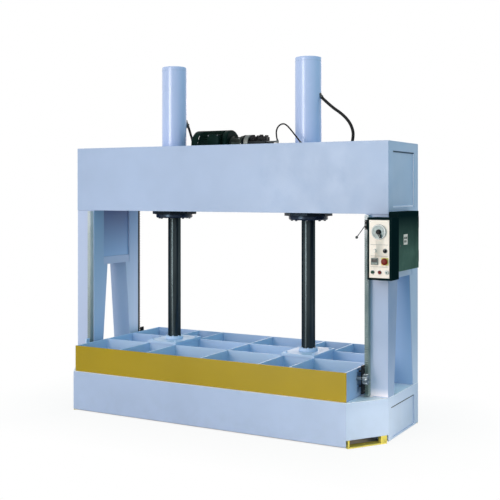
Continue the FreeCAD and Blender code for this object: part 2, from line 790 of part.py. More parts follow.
def make_levelling_gear():
    rack = make_rack()
    node(four_corners(rack), "racks")
    front = make_sync_shaft()
    node(front, "sync_shaft_front")
    node(mirror(front, "y"), "sync_shaft_rear")

    # A narrow cheek carries each shaft end; two pins hold it off the end of the platen.
    top = f"({PLATEN_TOP} + bearing_rise)"
    cheek = block((BEARING_INNER, BEARING_OUTER),
                  (f"-{PINION_Y} - bearing_width / 2", f"-{PINION_Y} + bearing_width / 2"),
                  (f"{top} - bearing_height", top))
    pins = [bar("x", "bearing_pin_radius", f"{BEARING_INNER} + 1 - {PLATEN_END}", PLATEN_END,
                f"-{PINION_Y}", f"{PINION_Z} {sign} bearing_pin_rise") for sign in "+-"]
    shaft_bore = bar("x", "sync_shaft_radius + fit_gap", "bearing_thickness + 2",
                     f"{BEARING_INNER} - 1", f"-{PINION_Y}", PINION_Z)
    node(four_corners(cut(join(cheek, *pins), shaft_bore)), "bearing_housings")


# ---------------------------------------------------------------------------
# Hydraulic set in the open bay: motor, pump and manifold in line along X.

def make_hydraulic_set():
    y, z = "0", MOTOR_Z
    body_right = "(motor_left + motor_body_length)"
    shield_right = f"({body_right} + shield_length)"
    barrel = bar("x", "motor_radius - fin_height", "motor_body_length", "motor_left", y, z)
    shield = bar("x", "motor_radius", "shield_length", body_right, y, z)
    half_fin = "fin_thickness / 2"
    fins = []
    for index in range(int(SIZES["fin_count"])):
        turn = 360 * (index + 0.5) / SIZES["fin_count"]
        fin = block(("0", "motor_body_length"), (f"-{half_fin}", half_fin), ("0", "motor_radius"))
        bind(fin, "Placement.Base.y", f"{half_fin} * -cos({turn})")
        bind(fin, "Placement.Base.z", f"{MOTOR_Z} + {half_fin} * -sin({turn})")
        bind(fin, "Placement.Base.x", "motor_left")
        fin.Placement.Rotation = FreeCAD.Rotation(Vector(1, 0, 0), turn)
        fins.append(fin)
    foot_y = "(motor_radius * 0.9)"
    foot = block(("motor_left + fin_height", f"{body_right} - fin_height"), (f"-{foot_y}", foot_y),
                 (DECK, f"{DECK} + fin_height"))
    waist = block(("motor_left + fin_height", f"{body_right} - fin_height"),
                  (f"-{foot_y} / 2", f"{foot_y} / 2"),
                  (DECK, f"{MOTOR_Z} - motor_radius / 2"))
    shaft_space = bar("x", "motor_shaft_radius + running_gap",
                      "motor_body_length + shield_length + 2", "motor_left - 1", y, z)
    housing = cut(join(barrel, shield, foot, waist, *fins), shaft_space)
    node(housing, "motor_housing")

    cowl_left = "(motor_left - cowl_length)"
    cowl = cut(bar("x", "motor_radius", "cowl_length", cowl_left, y, z),
               bar("x", "motor_radius - cowl_wall", "cowl_length", f"{cowl_left} + cowl_wall", y, z))
    grille = []
    for turn in range(0, 360, 45):
        slot = block(("0", "2 * cowl_wall"), ("0", "fin_thickness"), ("0", "motor_radius * 0.5"))
        slot.Placement.Rotation = FreeCAD.Rotation(Vector(1, 0, 0), turn)
        reach = "(motor_radius * 0.3)"
        grille.append(place(slot, f"{cowl_left} - cowl_wall / 2", f"-{reach} * sin({turn})",
                            f"{z} + {reach} * cos({turn})"))
    node(cut(cowl, *grille), "motor_fan_cowl")

    shaft_left = f"({cowl_left} + 4 * cowl_wall)"
    shaft = bar("x", "motor_shaft_radius", f"{shield_right} + bellhousing_length / 2 - {shaft_left}",
                shaft_left, y, z)
    hub = bar("x", "motor_shaft_radius * 2", "cowl_length / 2", f"{shaft_left} + fin_height", y, z)
    blades = []
    for index in range(6):
        blade = block(("0", "cowl_length / 2"), ("0", "fin_thickness"), ("0", "fan_radius - fin_height"))
        place(blade, f"{shaft_left} + fin_height", y, z)
        blade.Placement.Rotation = FreeCAD.Rotation(Vector(1, 0, 0), 60 * index)
        blades.append(blade)
    node(join(shaft, hub, *blades), "motor_rotor")

    box_low = f"({MOTOR_Z} - motor_radius / 5)"
    box = block((f"{body_right} - motor_radius", f"{body_right} - fin_height"),
                (f"-motor_radius * 1.36", "-motor_radius - running_gap"),
                (box_low, f"{box_low} + motor_radius * 0.85"))
    node(box, "motor_terminal_box")

    bell = join(bar("x", "bellhousing_radius", "bellhousing_length", shield_right, y, z),
                bar("x", "bellhousing_radius + fin_height", "bellhousing_flange",
                    f"{shield_right} + bellhousing_length - bellhousing_flange", y, z))
    bell = cut(bell, bar("x", "motor_shaft_radius * 2", "bellhousing_length - fin_height",
                         f"{shield_right} - 1", y, z))
    node(bell, "bellhousing")

    pump_left = f"({shield_right} + bellhousing_length)"
    pump = join(bar("x", "pump_radius", "pump_length", pump_left, y, z),
                block((pump_left, f"{pump_left} + pump_length"),
                      ("-pump_radius * 0.8", "pump_radius * 0.8"), (DECK, z)))
    node(pump, "pump")

    block_left = f"({pump_left} + pump_length)"
    valve_top = f"({MOTOR_Z} + pump_radius - manifold_drop)"
    half_y = "manifold_depth / 2"
    manifold = block((block_left, f"{block_left} + manifold_length"), (f"-{half_y}", half_y),
                     (DECK, f"{valve_top} - manifold_depth / 3"))
    valves = [block((f"{block_left} + {low}", f"{block_left} + {low} + manifold_length / 3"),
                    (f"-{half_y} + fin_height", f"{half_y} - fin_height"),
                    (f"{valve_top} - manifold_depth / 3", valve_top))
              for low in ("fin_height / 2", "manifold_length / 2")]
    node(join(manifold, *valves), "valve_block")


# ---------------------------------------------------------------------------
# Hoses.  Each route is a list of points chosen by hand; the tube follows straight runs
# joined by tangent arcs.

def route(side, points):
    """A route given as offsets from a cylinder's axis at the height of the beam's top."""
    start = Vector(side * value("cylinder_offset"), 0, value(BEAM_TOP))
    return [start + Vector(*point) for point in points]


RIGHT_ROUTE = route(1, [(119, 0, 370), (202, 0, 293), (292, 0, 234), (354, 0, 170),
                        (382, 0, 110), (388, 0, 60), (379, 0, 16)])
LEFT_ROUTE = route(-1, [(102, 62, 176), (119, 66, 122), (141, 62, 62), (163, 52, 6),
                        (175, 44, -48), (176, 42, -82)])
PILOT_ROUTE = route(1, [(-247, -60, 49), (-250, -63, 79), (-249, -68, 112), (-230, -77, 145),
                        (-196, -88, 165), (-157, -101, 165), (-123, -115, 145), (-84, -134, 112),
                        (-43, -155, 74), (-5, -176, 42), (19, -189, 16)])


def tube(route, radius, title):
    """A round hose along a route, each corner rounded as far as its two runs allow."""
    points = [Vector(point) for point in route]
    edges, here = [], points[0]
    tightest = None
    for before, corner, after in zip(points, points[1:], points[2:]):
        arriving, leaving = corner - before, after - corner
        turn = arriving.getAngle(leaving)
        trim = 0.45 * min(arriving.Length, leaving.Length)
        bend = trim / math.tan(turn / 2)
        tightest = min(bend, tightest or bend)
        arriving.normalize()
        leaving.normalize()
        start, end = corner - arriving * trim, corner + leaving * trim
        inward = (leaving - arriving).normalize()
        sagitta = bend / math.cos(turn / 2) - bend
        edges.append(Part.LineSegment(here, start).toShape())
        edges.append(Part.Arc(start, corner + inward * sagitta, end).toShape())
        here = end
    edges.append(Part.LineSegment(here, points[-1]).toShape())
    path = Part.Wire(edges)
    circle = Part.makeCircle(radius, points[0], points[1] - points[0])
    solid = path.makePipeShell([Part.Wire([circle])], True, False)
    expected = math.pi * radius ** 2 * path.Length
    print(f"{title}: length {path.Length:.0f}, tightest bend {tightest:.0f} ({tightest / radius / 2:.1f} "
          f"diameters), volume {solid.Volume / expected:.4f} of section times length")
    return drawn(solid)


def ferrule(route, radius, tail, reverse=False):
    """The fitting that a hose's end meets face to face: sleeve, nut and a tail into its seat."""
    points = [Vector(point) for point in (reversed(route) if reverse else route)]
    outward = (points[0] - points[1]).normalize()
    length = 2 * radius
    sleeve = Part.makeCylinder(1.25 * radius, length, points[0], outward)
    nut = Part.makeCylinder(1.6 * radius, radius, points[0] + outward * length, outward)
    stub = Part.makeCylinder(radius, length + tail, points[0], outward)
    return sleeve.fuse([nut, stub]).removeSplitter()


def make_hoses():
    right = tube(RIGHT_ROUTE, value("hose_radius"), "right hose")
    node(right, "hose_right")
    left = tube(LEFT_ROUTE, value("left_hose_radius"), "left hose")
    node(left, "hose_left")
    pilot = tube(PILOT_ROUTE, value("pilot_radius"), "pilot hose")
    node(pilot, "hose_pilot")


# ---------------------------------------------------------------------------
# Operator's side: control box, instruments, electrical cabinet and limit switch.

def make_control_box():
    outer, inner, top = BOX_OUTER, BOX_INNER, BOX_TOP
    front, back = f"-{PANEL_Y}", f"-{COLUMN_FACE}"
    shell = block((inner, outer), (front, back), (BOX_BOTTOM, top))
    cavity = block((f"{inner} + box_wall", f"{outer} - box_wall"),
                   (f"{front} + box_wall", f"{back} - box_wall"),
                   (f"{BOX_BOTTOM} + box_wall", f"{top} - box_wall"))
    window = block((f"{inner} + box_border", f"{outer} - box_border"),
                   (f"{front} - 1", f"{front} + box_wall + 1"),
                   (f"{BOX_BOTTOM} + box_border", f"{top} - box_border"))
    node(cut(shell, cavity, window), "control_box")

    panel_low = f"({front} - panel_thickness)"
    panel = block((f"{inner} + panel_border", f"{outer} - panel_border"), (panel_low, front),
                  (f"{BOX_BOTTOM} + panel_border", f"{top} - panel_border"))

    gauge = (f"{outer} - gauge_inset", f"{BOX_BOTTOM} + gauge_rise")
    selector_at = (f"{outer} - selector_inset", f"{BOX_BOTTOM} + selector_rise")
    estop = (f"{outer} - estop_inset", f"{BOX_BOTTOM} + estop_rise")
    button_z = f"{BOX_BOTTOM} + button_rise"

    def hole(radius, x, z):
        return bar("y", radius, "panel_thickness + 2", x, f"{panel_low} - 1", z)

    stem_hole = "stem_radius + running_gap"
    buttons = [f"({outer} - button_inset + {index} * button_pitch)" for index in range(3)]
    holes = [hole(stem_hole, x, button_z) for x in buttons]
    holes += [hole(stem_hole, *estop), hole(stem_hole, *selector_at), hole("gauge_radius * 0.85", *gauge)]
    lamp_x, lamp_z = f"{outer} - lamp_inset", selector_at[1]
    lamp = join(bar("y", "knob_radius * 0.8", "panel_thickness", lamp_x, f"{panel_low} - panel_thickness",
                    lamp_z),
                bar("y", "knob_radius * 0.55", "3 * panel_thickness", lamp_x,
                    f"{panel_low} - 3 * panel_thickness", lamp_z))
    node(join(cut(panel, *holes), lamp), "control_panel")

    gauge_x, gauge_z = gauge
    case = bar("y", "gauge_radius * 0.85 - running_gap", "gauge_depth + 2 * panel_thickness", gauge_x,
               f"{panel_low} - 1", gauge_z)
    dial = bar("y", "gauge_radius", "gauge_depth / 2", gauge_x, f"{panel_low} - gauge_depth / 2", gauge_z)
    rim = cut(bar("y", "gauge_radius", "gauge_depth / 4", gauge_x, f"{panel_low} - gauge_depth * 3 / 4",
                  gauge_z),
              bar("y", "gauge_radius - box_wall", "gauge_depth", gauge_x, f"{panel_low} - gauge_depth",
                  gauge_z))
    node(join(case, dial, rim), "pressure_gauge")
    node(bar("y", "gauge_knob_radius", "gauge_depth", gauge_x,
             f"{panel_low} - gauge_depth * 3 / 2 - running_gap", gauge_z), "gauge_knob")

    timer_x, timer_z = f"({outer} - timer_inset)", f"({BOX_BOTTOM} + timer_rise)"
    timer = block((f"{timer_x} - timer_width / 2", f"{timer_x} + timer_width / 2"),
                  (f"{panel_low} - 2 * panel_thickness", panel_low),
                  (f"{timer_z} - timer_height / 2", f"{timer_z} + timer_height / 2"))
    node(timer, "timer")

    def push_button(x, z, head_radius, head_depth):
        """A head that stands off the panel by its travel, on a stem through the panel."""
        stand = "(button_travel + 1)"
        head = bar("y", head_radius, head_depth, x, f"{panel_low} - {stand} - {head_depth}", z)
        stem = bar("y", "stem_radius", f"{stand} + 3 * panel_thickness", x, f"{panel_low} - {stand}", z)
        return join(head, stem)

    for x, name in zip(buttons, ("start_button", "stop_button", "jog_button")):
        node(push_button(x, button_z, "button_radius", "panel_thickness"), name)
    node(push_button(*estop, "estop_radius", "4 * panel_thickness"), "estop_button")

    knob_x, knob_z = selector_at
    knob_low = f"({panel_low} - running_gap - 3 * panel_thickness)"
    selector = join(bar("y", "knob_radius", "3 * panel_thickness", knob_x, knob_low, knob_z),
                    bar("y", "stem_radius", "5 * panel_thickness", knob_x,
                        f"{panel_low} - running_gap", knob_z),
                    block((f"{knob_x} - box_wall", f"{knob_x} + box_wall"),
                          (f"{knob_low} - panel_thickness", f"{knob_low} + running_gap"),
                          (f"{knob_z} - knob_radius", f"{knob_z} + knob_radius * 0.9")))
    node(selector, "selector_knob")


def make_cabinet():
    back = HALF_LENGTH
    face = f"({BOX_OUTER} - door_thickness)"
    front = f"(cabinet_gap - {COLUMN_FACE})"
    rear = f"({front} + cabinet_depth)"
    top = f"({BEAM_BOTTOM} + cabinet_rise)"
    bottom = f"({top} - cabinet_height)"
    wall = "box_wall"
    latch_y, latch_z = f"({front} + latch_inset)", f"({bottom} + latch_rise)"
    shell = block((back, face), (front, rear), (bottom, top))
    cavity = block((f"{back} + {wall}", f"{face} + 1"), (f"{front} + {wall}", f"{rear} - {wall}"),
                   (f"{bottom} + {wall}", f"{top} - {wall}"))
    shell = cut(shell, cavity)

    # Two hinges at the rear edge: each has a knuckle on the door under one on the cabinet.
    hinge_x, hinge_y = f"({BOX_OUTER} - hinge_radius)", f"({rear} + hinge_radius / 2)"
    knuckle = "(cabinet_height / 10)"
    door_knuckles, cabinet_knuckles, notches = [], [], []
    for low in (f"{bottom} + {knuckle}", f"{bottom} + 7 * {knuckle}"):
        mid = f"{low} + {knuckle} + running_gap"
        end = f"{low} + 2 * {knuckle} + running_gap"
        door_knuckles.append(bar("z", "hinge_radius", knuckle, hinge_x, hinge_y, low))
        cabinet_knuckles.append(bar("z", "hinge_radius", knuckle, hinge_x, hinge_y, mid))
        cabinet_knuckles.append(block((f"{face} - 2 * hinge_radius", hinge_x),
                                      (f"{rear} - {wall} / 2", f"{rear} + {wall} / 2"), (mid, end)))
        notches.append(bar("z", "hinge_radius + 2 * running_gap", f"{knuckle} + 2 * running_gap",
                           hinge_x, hinge_y, f"{low} + {knuckle}"))
        notches.append(block((f"{face} - 1", hinge_x), (f"{rear} - {wall}", f"{rear} + {wall}"),
                             (f"{low} + {knuckle}", f"{end} + running_gap")))
    node(join(shell, *cabinet_knuckles), "electrical_cabinet")

    door_low = f"({face} + running_gap)"
    leaf = block((door_low, BOX_OUTER), (front, rear), (bottom, top))
    spindle_hole = bar("x", "stem_radius + running_gap", "door_thickness + 2", f"{door_low} - 1",
                       latch_y, latch_z)
    node(cut(join(leaf, *door_knuckles), spindle_hole, *notches), "cabinet_door")

    plate_low = f"({BOX_OUTER} + running_gap)"
    latch = join(block((plate_low, f"{plate_low} + box_wall"),
                       (f"{latch_y} - latch_width / 2", f"{latch_y} + latch_width / 2"),
                       (f"{latch_z} - latch_height / 2", f"{latch_z} + latch_height / 2")),
                 bar("x", "stem_radius", "door_thickness + box_wall", f"{plate_low} - door_thickness",
                     latch_y, latch_z))
    node(latch, "door_latch")


def make_limit_switch():
    low_x = f"({BOX_INNER} - switch_width)"
    front, low_z = f"(-{PANEL_Y})", f"({BOX_TOP} - switch_drop)"
    body = block((low_x, BOX_INNER), (front, f"{front} + 2 * switch_width"),
                 (low_z, f"{low_z} + switch_height"))
    node(body, "limit_switch")

    pivot_x, pivot_z = f"({low_x} + switch_width / 2)", f"({low_z} + switch_height / 2)"
    reach = "sqrt(lever_reach^2 + lever_drop^2)"
    hub_depth = "(3 * lever_radius)"
    hub_front = f"({front} - running_gap - {hub_depth})"
    lever_y = f"({hub_front} + {hub_depth} / 2)"
    hub = bar("y", "switch_width / 3", hub_depth, pivot_x, hub_front, pivot_z)
    arm = bar("z", "lever_radius", reach, pivot_x, lever_y, pivot_z)
    arm.Placement.Rotation = FreeCAD.Rotation(Vector(0, 1, 0), 180)
    bind(arm, "Placement.Rotation.Angle", "180 deg + atan2(lever_reach; lever_drop)")
    ball, short = "lever_ball_radius", "(lever_ball_radius * 0.6)"
    knob = turned([("0", f"-{ball}"), (short, f"-{ball} * 0.8"), (ball, "0"),
                   (short, f"{ball} * 0.8"), ("0", ball)])
    place(knob, f"{pivot_x} - lever_reach", lever_y, f"{pivot_z} - lever_drop")
    node(join(hub, arm, knob), "limit_switch_lever")


def forged_elbow(centre, half):
    """The square body of a forged elbow."""
    return Part.makeBox(2 * half, 2 * half, 2 * half, centre - Vector(half, half, half))


def make_fittings():
    """Hose ends, and the pipework that leads from the manifold."""
    right, left, pilot = value("hose_radius"), value("left_hose_radius"), value("pilot_radius")
    pieces = [ferrule(RIGHT_ROUTE, right, 50), ferrule(RIGHT_ROUTE, right, 30, reverse=True),
              ferrule(LEFT_ROUTE, left, 50), ferrule(LEFT_ROUTE, left, 50, reverse=True),
              ferrule(PILOT_ROUTE, pilot, 30, reverse=True)]

    # The pilot line leaves the manifold's end face through an elbow that turns up.
    x, y, z = PILOT_ROUTE[0]
    manifold_end = value("motor_left + motor_body_length + shield_length + bellhousing_length"
                         " + pump_length + manifold_length")
    low = z - 3.5 * pilot
    elbow = ferrule(PILOT_ROUTE, pilot, pilot)
    knee = forged_elbow(Vector(x, y, low), 1.5 * pilot)
    run = Part.makeCylinder(1.2 * pilot, x - manifold_end, Vector(manifold_end, y, low), Vector(1, 0, 0))
    pieces.append(elbow.fuse([knee, run]).removeSplitter())

    # The main line runs level over the tank, then turns down through its lid.
    deck, top = value(DECK), value(BEAM_TOP)
    pipe = left
    corner = Vector(x, left * 3, deck + value("pump_radius") * 1.6)
    level = Part.makeCylinder(pipe, x - manifold_end, Vector(manifold_end, corner.y, corner.z),
                              Vector(1, 0, 0))
    drop = Part.makeCylinder(pipe, corner.z - deck, Vector(x, corner.y, deck))
    union = Part.makeCylinder(1.6 * pipe, 2 * pipe, Vector((x + manifold_end) / 2, corner.y, corner.z),
                              Vector(1, 0, 0))
    pieces.append(level.fuse([drop, union, forged_elbow(corner, 1.4 * pipe)]).removeSplitter())

    offset, clear = value("cylinder_offset"), value("tube_radius + running_gap")
    depth, thick, half = value("frame_depth"), 200, value(HALF_LENGTH)
    solid_space = [Part.makeCylinder(clear, value(TUBE_LENGTH), Vector(side * offset, 0, top))
                   for side in (-1, 1)]
    solid_space.append(Part.makeBox(half, depth, thick, Vector(value("bay_half_length"), -depth / 2,
                                                               top - thick)))
    solid_space.append(Part.makeBox(2 * half, depth, thick, Vector(-half, -depth / 2, deck - thick)))
    node(drawn(Part.makeCompound([piece.cut(solid_space) for piece in pieces])), "hose_fittings")


make_base()
make_columns()
make_beam()
make_cylinders()
make_platen()
make_levelling_gear()
make_hydraulic_set()
make_hoses()
make_fittings()
make_control_box()
make_cabinet()
make_limit_switch()

doc.recompute()

for thing in doc.Objects:
    if "Invalid" in thing.State or "Error" in thing.State:
        raise RuntimeError(f"{thing.Name} ({thing.Label}) failed: {thing.State}")

os.makedirs("parts", exist_ok=True)
for thing in NODES:
    shape = thing.Shape
    if shape.isNull() or not shape.isValid() or not shape.Solids:
        raise RuntimeError(f"{thing.Label} has no valid solid")
    shape.exportStep(os.path.join("parts", thing.Label + ".step"))
print(len(NODES), "pieces written")
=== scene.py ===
import math

import bmesh
import bpy
from mathutils import Matrix, Vector


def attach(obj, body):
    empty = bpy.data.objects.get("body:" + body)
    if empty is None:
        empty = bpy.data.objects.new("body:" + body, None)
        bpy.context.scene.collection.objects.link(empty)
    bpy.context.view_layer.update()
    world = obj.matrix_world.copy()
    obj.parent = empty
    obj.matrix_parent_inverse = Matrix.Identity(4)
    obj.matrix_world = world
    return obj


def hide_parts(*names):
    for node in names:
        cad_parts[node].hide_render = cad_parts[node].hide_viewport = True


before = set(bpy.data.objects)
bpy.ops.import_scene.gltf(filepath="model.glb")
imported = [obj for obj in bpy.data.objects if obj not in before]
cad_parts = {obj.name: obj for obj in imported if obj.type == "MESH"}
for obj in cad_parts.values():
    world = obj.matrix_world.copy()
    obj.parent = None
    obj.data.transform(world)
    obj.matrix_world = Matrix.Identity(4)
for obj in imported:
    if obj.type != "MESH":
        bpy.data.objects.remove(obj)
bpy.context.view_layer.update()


# ---------------------------------------------------------------- levelling pads
# Eleven rubber discs under the base, moulded round a steel washer. They take up an uneven
# floor and keep the machine from creeping.

MM = 0.001
UP = (0, 0, 1)
CREASE = 38


def shade(red, green, blue):
    """A paint maker's colour in steps of 0 to 255, as the linear light that a shader takes."""
    steps = [v / 255 for v in (red, green, blue)]
    return (*[((v + 0.055) / 1.055) ** 2.4 if v > 0.04 else v / 12.92 for v in steps], 1.0)


def toned(colour, share, lift=0.0):
    """The colour made deeper or paler, by one share or by one for each of its three parts."""
    shares = share if isinstance(share, tuple) else (share,) * 3
    return (*[min(1.0, c * s + lift) for c, s in zip(colour, shares)], 1.0)


def add_node(tree, kind, feeds=None, **settings):
    """Adds a node. Feeds go to its inputs, each a value or another node's output."""
    made = tree.nodes.new(kind)
    for key, value in settings.items():
        setattr(made, key, value)
    for key, value in (feeds or {}).items():
        if isinstance(value, bpy.types.NodeSocket):
            tree.links.new(value, made.inputs[key])
        else:
            made.inputs[key].default_value = value
    return made


class Finish:
    """One finish while it is mixed: its material, its shader and the place its patterns read."""

    def __init__(self, name, roughness, metallic=0.0, **fixed):
        self.material = bpy.data.materials.new(name)
        self.material.use_nodes = True
        self.tree = self.material.node_tree
        self.shader = self.tree.nodes["Principled BSDF"]
        for socket, value in dict(fixed, Roughness=roughness, Metallic=metallic).items():
            self.shader.inputs[socket.replace("_", " ")].default_value = value
        self.place = self.node("TexCoord").outputs["Object"]

    def node(self, kind, feeds=None, **settings):
        return add_node(self.tree, "ShaderNode" + kind, feeds, **settings)

    def axes(self):
        """The place on the machine in metres: along it, across it and up."""
        return self.node("SeparateXYZ", {0: self.place}).outputs

    def reckon(self, operation, *values):
        return self.node("Math", dict(enumerate(values)), operation=operation).outputs[0]

    def times(self, first, second):
        return self.reckon("MULTIPLY", first, second)

    def spread(self, value, low, high, to_low=0.0, to_high=1.0):
        """The value drawn out so that low to high becomes to_low to to_high, and no further."""
        feeds = {0: value, 1: low, 2: high, 3: to_low, 4: to_high}
        return self.node("MapRange", feeds, clamp=True).outputs[0]

    def cloud(self, size, detail, stretch=(1, 1, 1)):
        """A cloudy pattern whose blotches are about size metres across."""
        at = self.node("Mapping", {"Vector": self.place, "Scale": stretch}).outputs[0]
        return self.node("TexNoise", {"Vector": at, "Scale": 1 / size, "Detail": detail}).outputs[0]

    def blotches(self, size, detail, low, high, to_low=0.0, to_high=1.0, stretch=(1, 1, 1)):
        """A cloudy pattern, spread."""
        return self.spread(self.cloud(size, detail, stretch), low, high, to_low, to_high)

    def between(self, mask, first, second):
        """The first colour where the mask is 0, and the second where it is 1."""
        return self.node("Mix", {0: mask, 6: first, 7: second}, data_type="RGBA").outputs[2]

    def edges(self, width):
        """Where a hand, a rag or a tool rubs: 1 on an edge, and 0 from width metres away."""
        soft = self.node("Bevel", {0: width}, samples=4).outputs[0]
        flat = self.node("NewGeometry").outputs["Normal"]
        along = self.node("VectorMath", {0: soft, 1: flat}, operation="DOT_PRODUCT").outputs[1]
        return self.spread(along, 0.98, 0.80)

    def within(self, low, high):
        """1 in the box between two corners in metres, and 0 from a millimetre outside it."""
        inside = 1.0
        for place, least, most in zip(self.axes(), low, high):
            inside = self.times(inside, self.spread(place, least - MM, least))
            inside = self.times(inside, self.spread(place, most + MM, most))
        return inside

    def set(self, socket, value):
        self.tree.links.new(value, self.shader.inputs[socket])

    def laid(self, colour, rough, *layers):
        """The material, with its reliefs: each layer is a pattern and its depth in metres."""
        self.set("Base Color", colour)
        self.set("Roughness", rough)
        under = {}
        for pattern, depth in layers:
            feeds = {"Height": pattern, "Distance": depth, "Strength": 1.0, **under}
            under = {"Normal": self.node("Bump", feeds).outputs[0]}
        self.set("Normal", under["Normal"])
        return self.material


def moulded_rubber(name, colour, dusty):
    """Moulded rubber or mastic: matt, a little chalky where dust holds in its skin."""
    mix = Finish(name, 0.62, Specular_IOR_Level=0.2)
    bloom = mix.blotches(0.035, 4, 0.35, 0.75)
    return mix.laid(mix.between(bloom, colour, dusty), mix.spread(bloom, 0, 1, 0.55, 0.78),
                    (mix.cloud(0.0016, 2), 0.0002))


def ring_of(shape, radius, height, sides, place):
    """The corners of one ring of a turned solid, or its one point on the axis."""
    if radius < 1e-6:
        return [shape.verts.new(place @ Vector((0, 0, height)))]
    step = math.tau / sides
    return [shape.verts.new(place @ Vector((radius * math.cos(i * step), radius * math.sin(i * step),
                                            height))) for i in range(sides)]


def turn_into(shape, outline, centre=(0, 0, 0), aim=UP, sides=64, bored=False):
    """Adds a turned solid. The outline is (radius, height) in mm from one end to the other."""
    place = (Matrix.Translation(Vector(centre) * MM)
             @ Vector(UP).rotation_difference(Vector(aim)).to_matrix().to_4x4())
    rings = [ring_of(shape, r * MM, h * MM, sides, place) for r, h in outline]
    pairs = list(zip(rings, rings[1:])) + ([(rings[-1], rings[0])] if bored else [])
    for low, high in pairs:
        count = max(len(low), len(high))
        for i in range(count if count > 1 else 0):
            j = (i + 1) % count
            if len(low) == 1:
                shape.faces.new((low[0], high[i], high[j]))
            elif len(high) == 1:
                shape.faces.new((low[i], low[j], high[0]))
            else:
                shape.faces.new((low[i], low[j], high[j], high[i]))
    if not bored:
        for ring in (rings[0], rings[-1]):
            if len(ring) > 1:
                shape.faces.new(ring)


def turned(outline, *place, **how):
    """A new shape of one turned solid."""
    shape = bmesh.new()
    turn_into(shape, outline, *place, **how)
    return shape


def eased(points, radius, steps=4, closed=False):
    """The outline with each corner rounded off to the radius, as far as its sides allow."""
    out = []
    count = len(points)
    for i, corner in enumerate(points):
        here = Vector(corner)
        if not closed and i in (0, count - 1):
            out.append(tuple(here))
            continue
        back = Vector(points[i - 1]) - here
        on = Vector(points[(i + 1) % count]) - here
        reach = min(radius, back.length * 0.49, on.length * 0.49)
        start, end = here + back.normalized() * reach, here + on.normalized() * reach
        for k in range(steps + 1):
            t = k / steps
            out.append(tuple(start * (1 - t) ** 2 + here * 2 * t * (1 - t) + end * t ** 2))
    return out


def in_scene(name, data):
    obj = bpy.data.objects.new(name, data)
    bpy.context.scene.collection.objects.link(obj)
    return obj


def meshed(name, shape, finish, crease=CREASE):
    """The shape as an object, smooth but for edges sharper than the crease in degrees."""
    mesh = bpy.data.meshes.new(name)
    shape.to_mesh(mesh)
    shape.free()
    mesh.shade_smooth()
    if crease:
        mesh.set_sharp_from_angle(angle=math.radians(crease))
    mesh.materials.append(finish)
    return in_scene(name, mesh)


def riding(obj, body, slot, node=None):
    """Lets a piece ride on its body, in the place of a node of the frame where one is given."""
    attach(obj, body)
    if node:
        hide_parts(node)
    return obj


def piece(name, shape, finish, slot, node=None, body="frame", crease=CREASE):
    """Makes a finished piece of the shape."""
    bmesh.ops.recalc_face_normals(shape, faces=shape.faces)
    return riding(meshed(name, shape, finish, crease), body, slot, node)


def middles(node):
    """The middle, in mm, of each separate solid in a node of the frame."""
    shape = bmesh.new()
    shape.from_mesh(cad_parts[node].data)
    bmesh.ops.remove_doubles(shape, verts=shape.verts, dist=1e-6)
    left, found = set(shape.verts), []
    while left:
        group, edge = set(), [left.pop()]
        while edge:
            vert = edge.pop()
            group.add(vert)
            others = {link.other_vert(vert) for link in vert.link_edges} & left
            left -= others
            edge += others
        low, high = [Vector([end(v.co[i] for v in group) for i in range(3)]) / MM for end in (min, max)]
        found.append((low + high) / 2)
    shape.free()
    return sorted(found, key=lambda middle: tuple(round(c, 1) for c in middle))


def geometry_tree(name, *inputs):
    """A geometry tree: what it is given, a way to add its nodes, and a way to close it.

    An added node hands back its first output, or the one that out names.
    """
    tree = bpy.data.node_groups.new(name, "GeometryNodeTree")
    for label, kind in (("Geometry", "Geometry"), *inputs, ("Finish", "Material")):
        tree.interface.new_socket(label, in_out="INPUT", socket_type="NodeSocket" + kind)
    tree.interface.new_socket("Geometry", in_out="OUTPUT", socket_type="NodeSocketGeometry")
    given = add_node(tree, "NodeGroupInput").outputs

    def add(kind, feeds=None, out=0, **settings):
        return add_node(tree, kind, feeds, **settings).outputs[out]

    def close(grown):
        solid = add("GeometryNodeRealizeInstances", {"Geometry": grown})
        coated = add("GeometryNodeSetMaterial", {"Geometry": solid, "Material": given["Finish"]})
        add_node(tree, "NodeGroupOutput", {0: coated})

    return tree, given, add, close


def made_plain(obj):
    """Keeps the mesh that the object's modifiers make, in their place."""
    bpy.context.view_layer.update()
    seen = obj.evaluated_get(bpy.context.evaluated_depsgraph_get())
    mesh = bpy.data.meshes.new_from_object(seen)
    obj.modifiers.clear()
    obj.data = mesh


def grow(obj, tree, **inputs):
    """Runs a tree on the object with those inputs, and keeps the mesh that it makes."""
    runs = obj.modifiers.new("tree", "NODES")
    runs.node_group = tree
    for socket in tree.interface.items_tree:
        if socket.name in inputs:
            runs[socket.identifier] = inputs[socket.name]
    made_plain(obj)


SETTING, given, add, close = geometry_tree(
    "set_one_on_each_point", ("Part", "Object"), ("Twist", "Float"), ("Seed", "Int"))
part = add("GeometryNodeObjectInfo", {"Object": given["Part"], "As Instance": True}, "Geometry")
aim = add("GeometryNodeInputNamedAttribute", {"Name": "aim"}, data_type="FLOAT_VECTOR")
facing = add("FunctionNodeAlignRotationToVector", {"Vector": aim}, axis="Z")
least = add("ShaderNodeMath", {0: given["Twist"], 1: -1.0}, operation="MULTIPLY")
chance = add("FunctionNodeRandomValue", {2: least, 3: given["Twist"], "Seed": given["Seed"]}, 1,
             data_type="FLOAT")
spin = add("FunctionNodeAxisAngleToRotation", {"Axis": UP, "Angle": chance})
way = add("FunctionNodeRotateRotation", {0: facing, 1: spin}, rotation_space="LOCAL")
close(add("GeometryNodeInstanceOnPoints",
          {"Points": given["Geometry"], "Instance": part, "Rotation": way}))


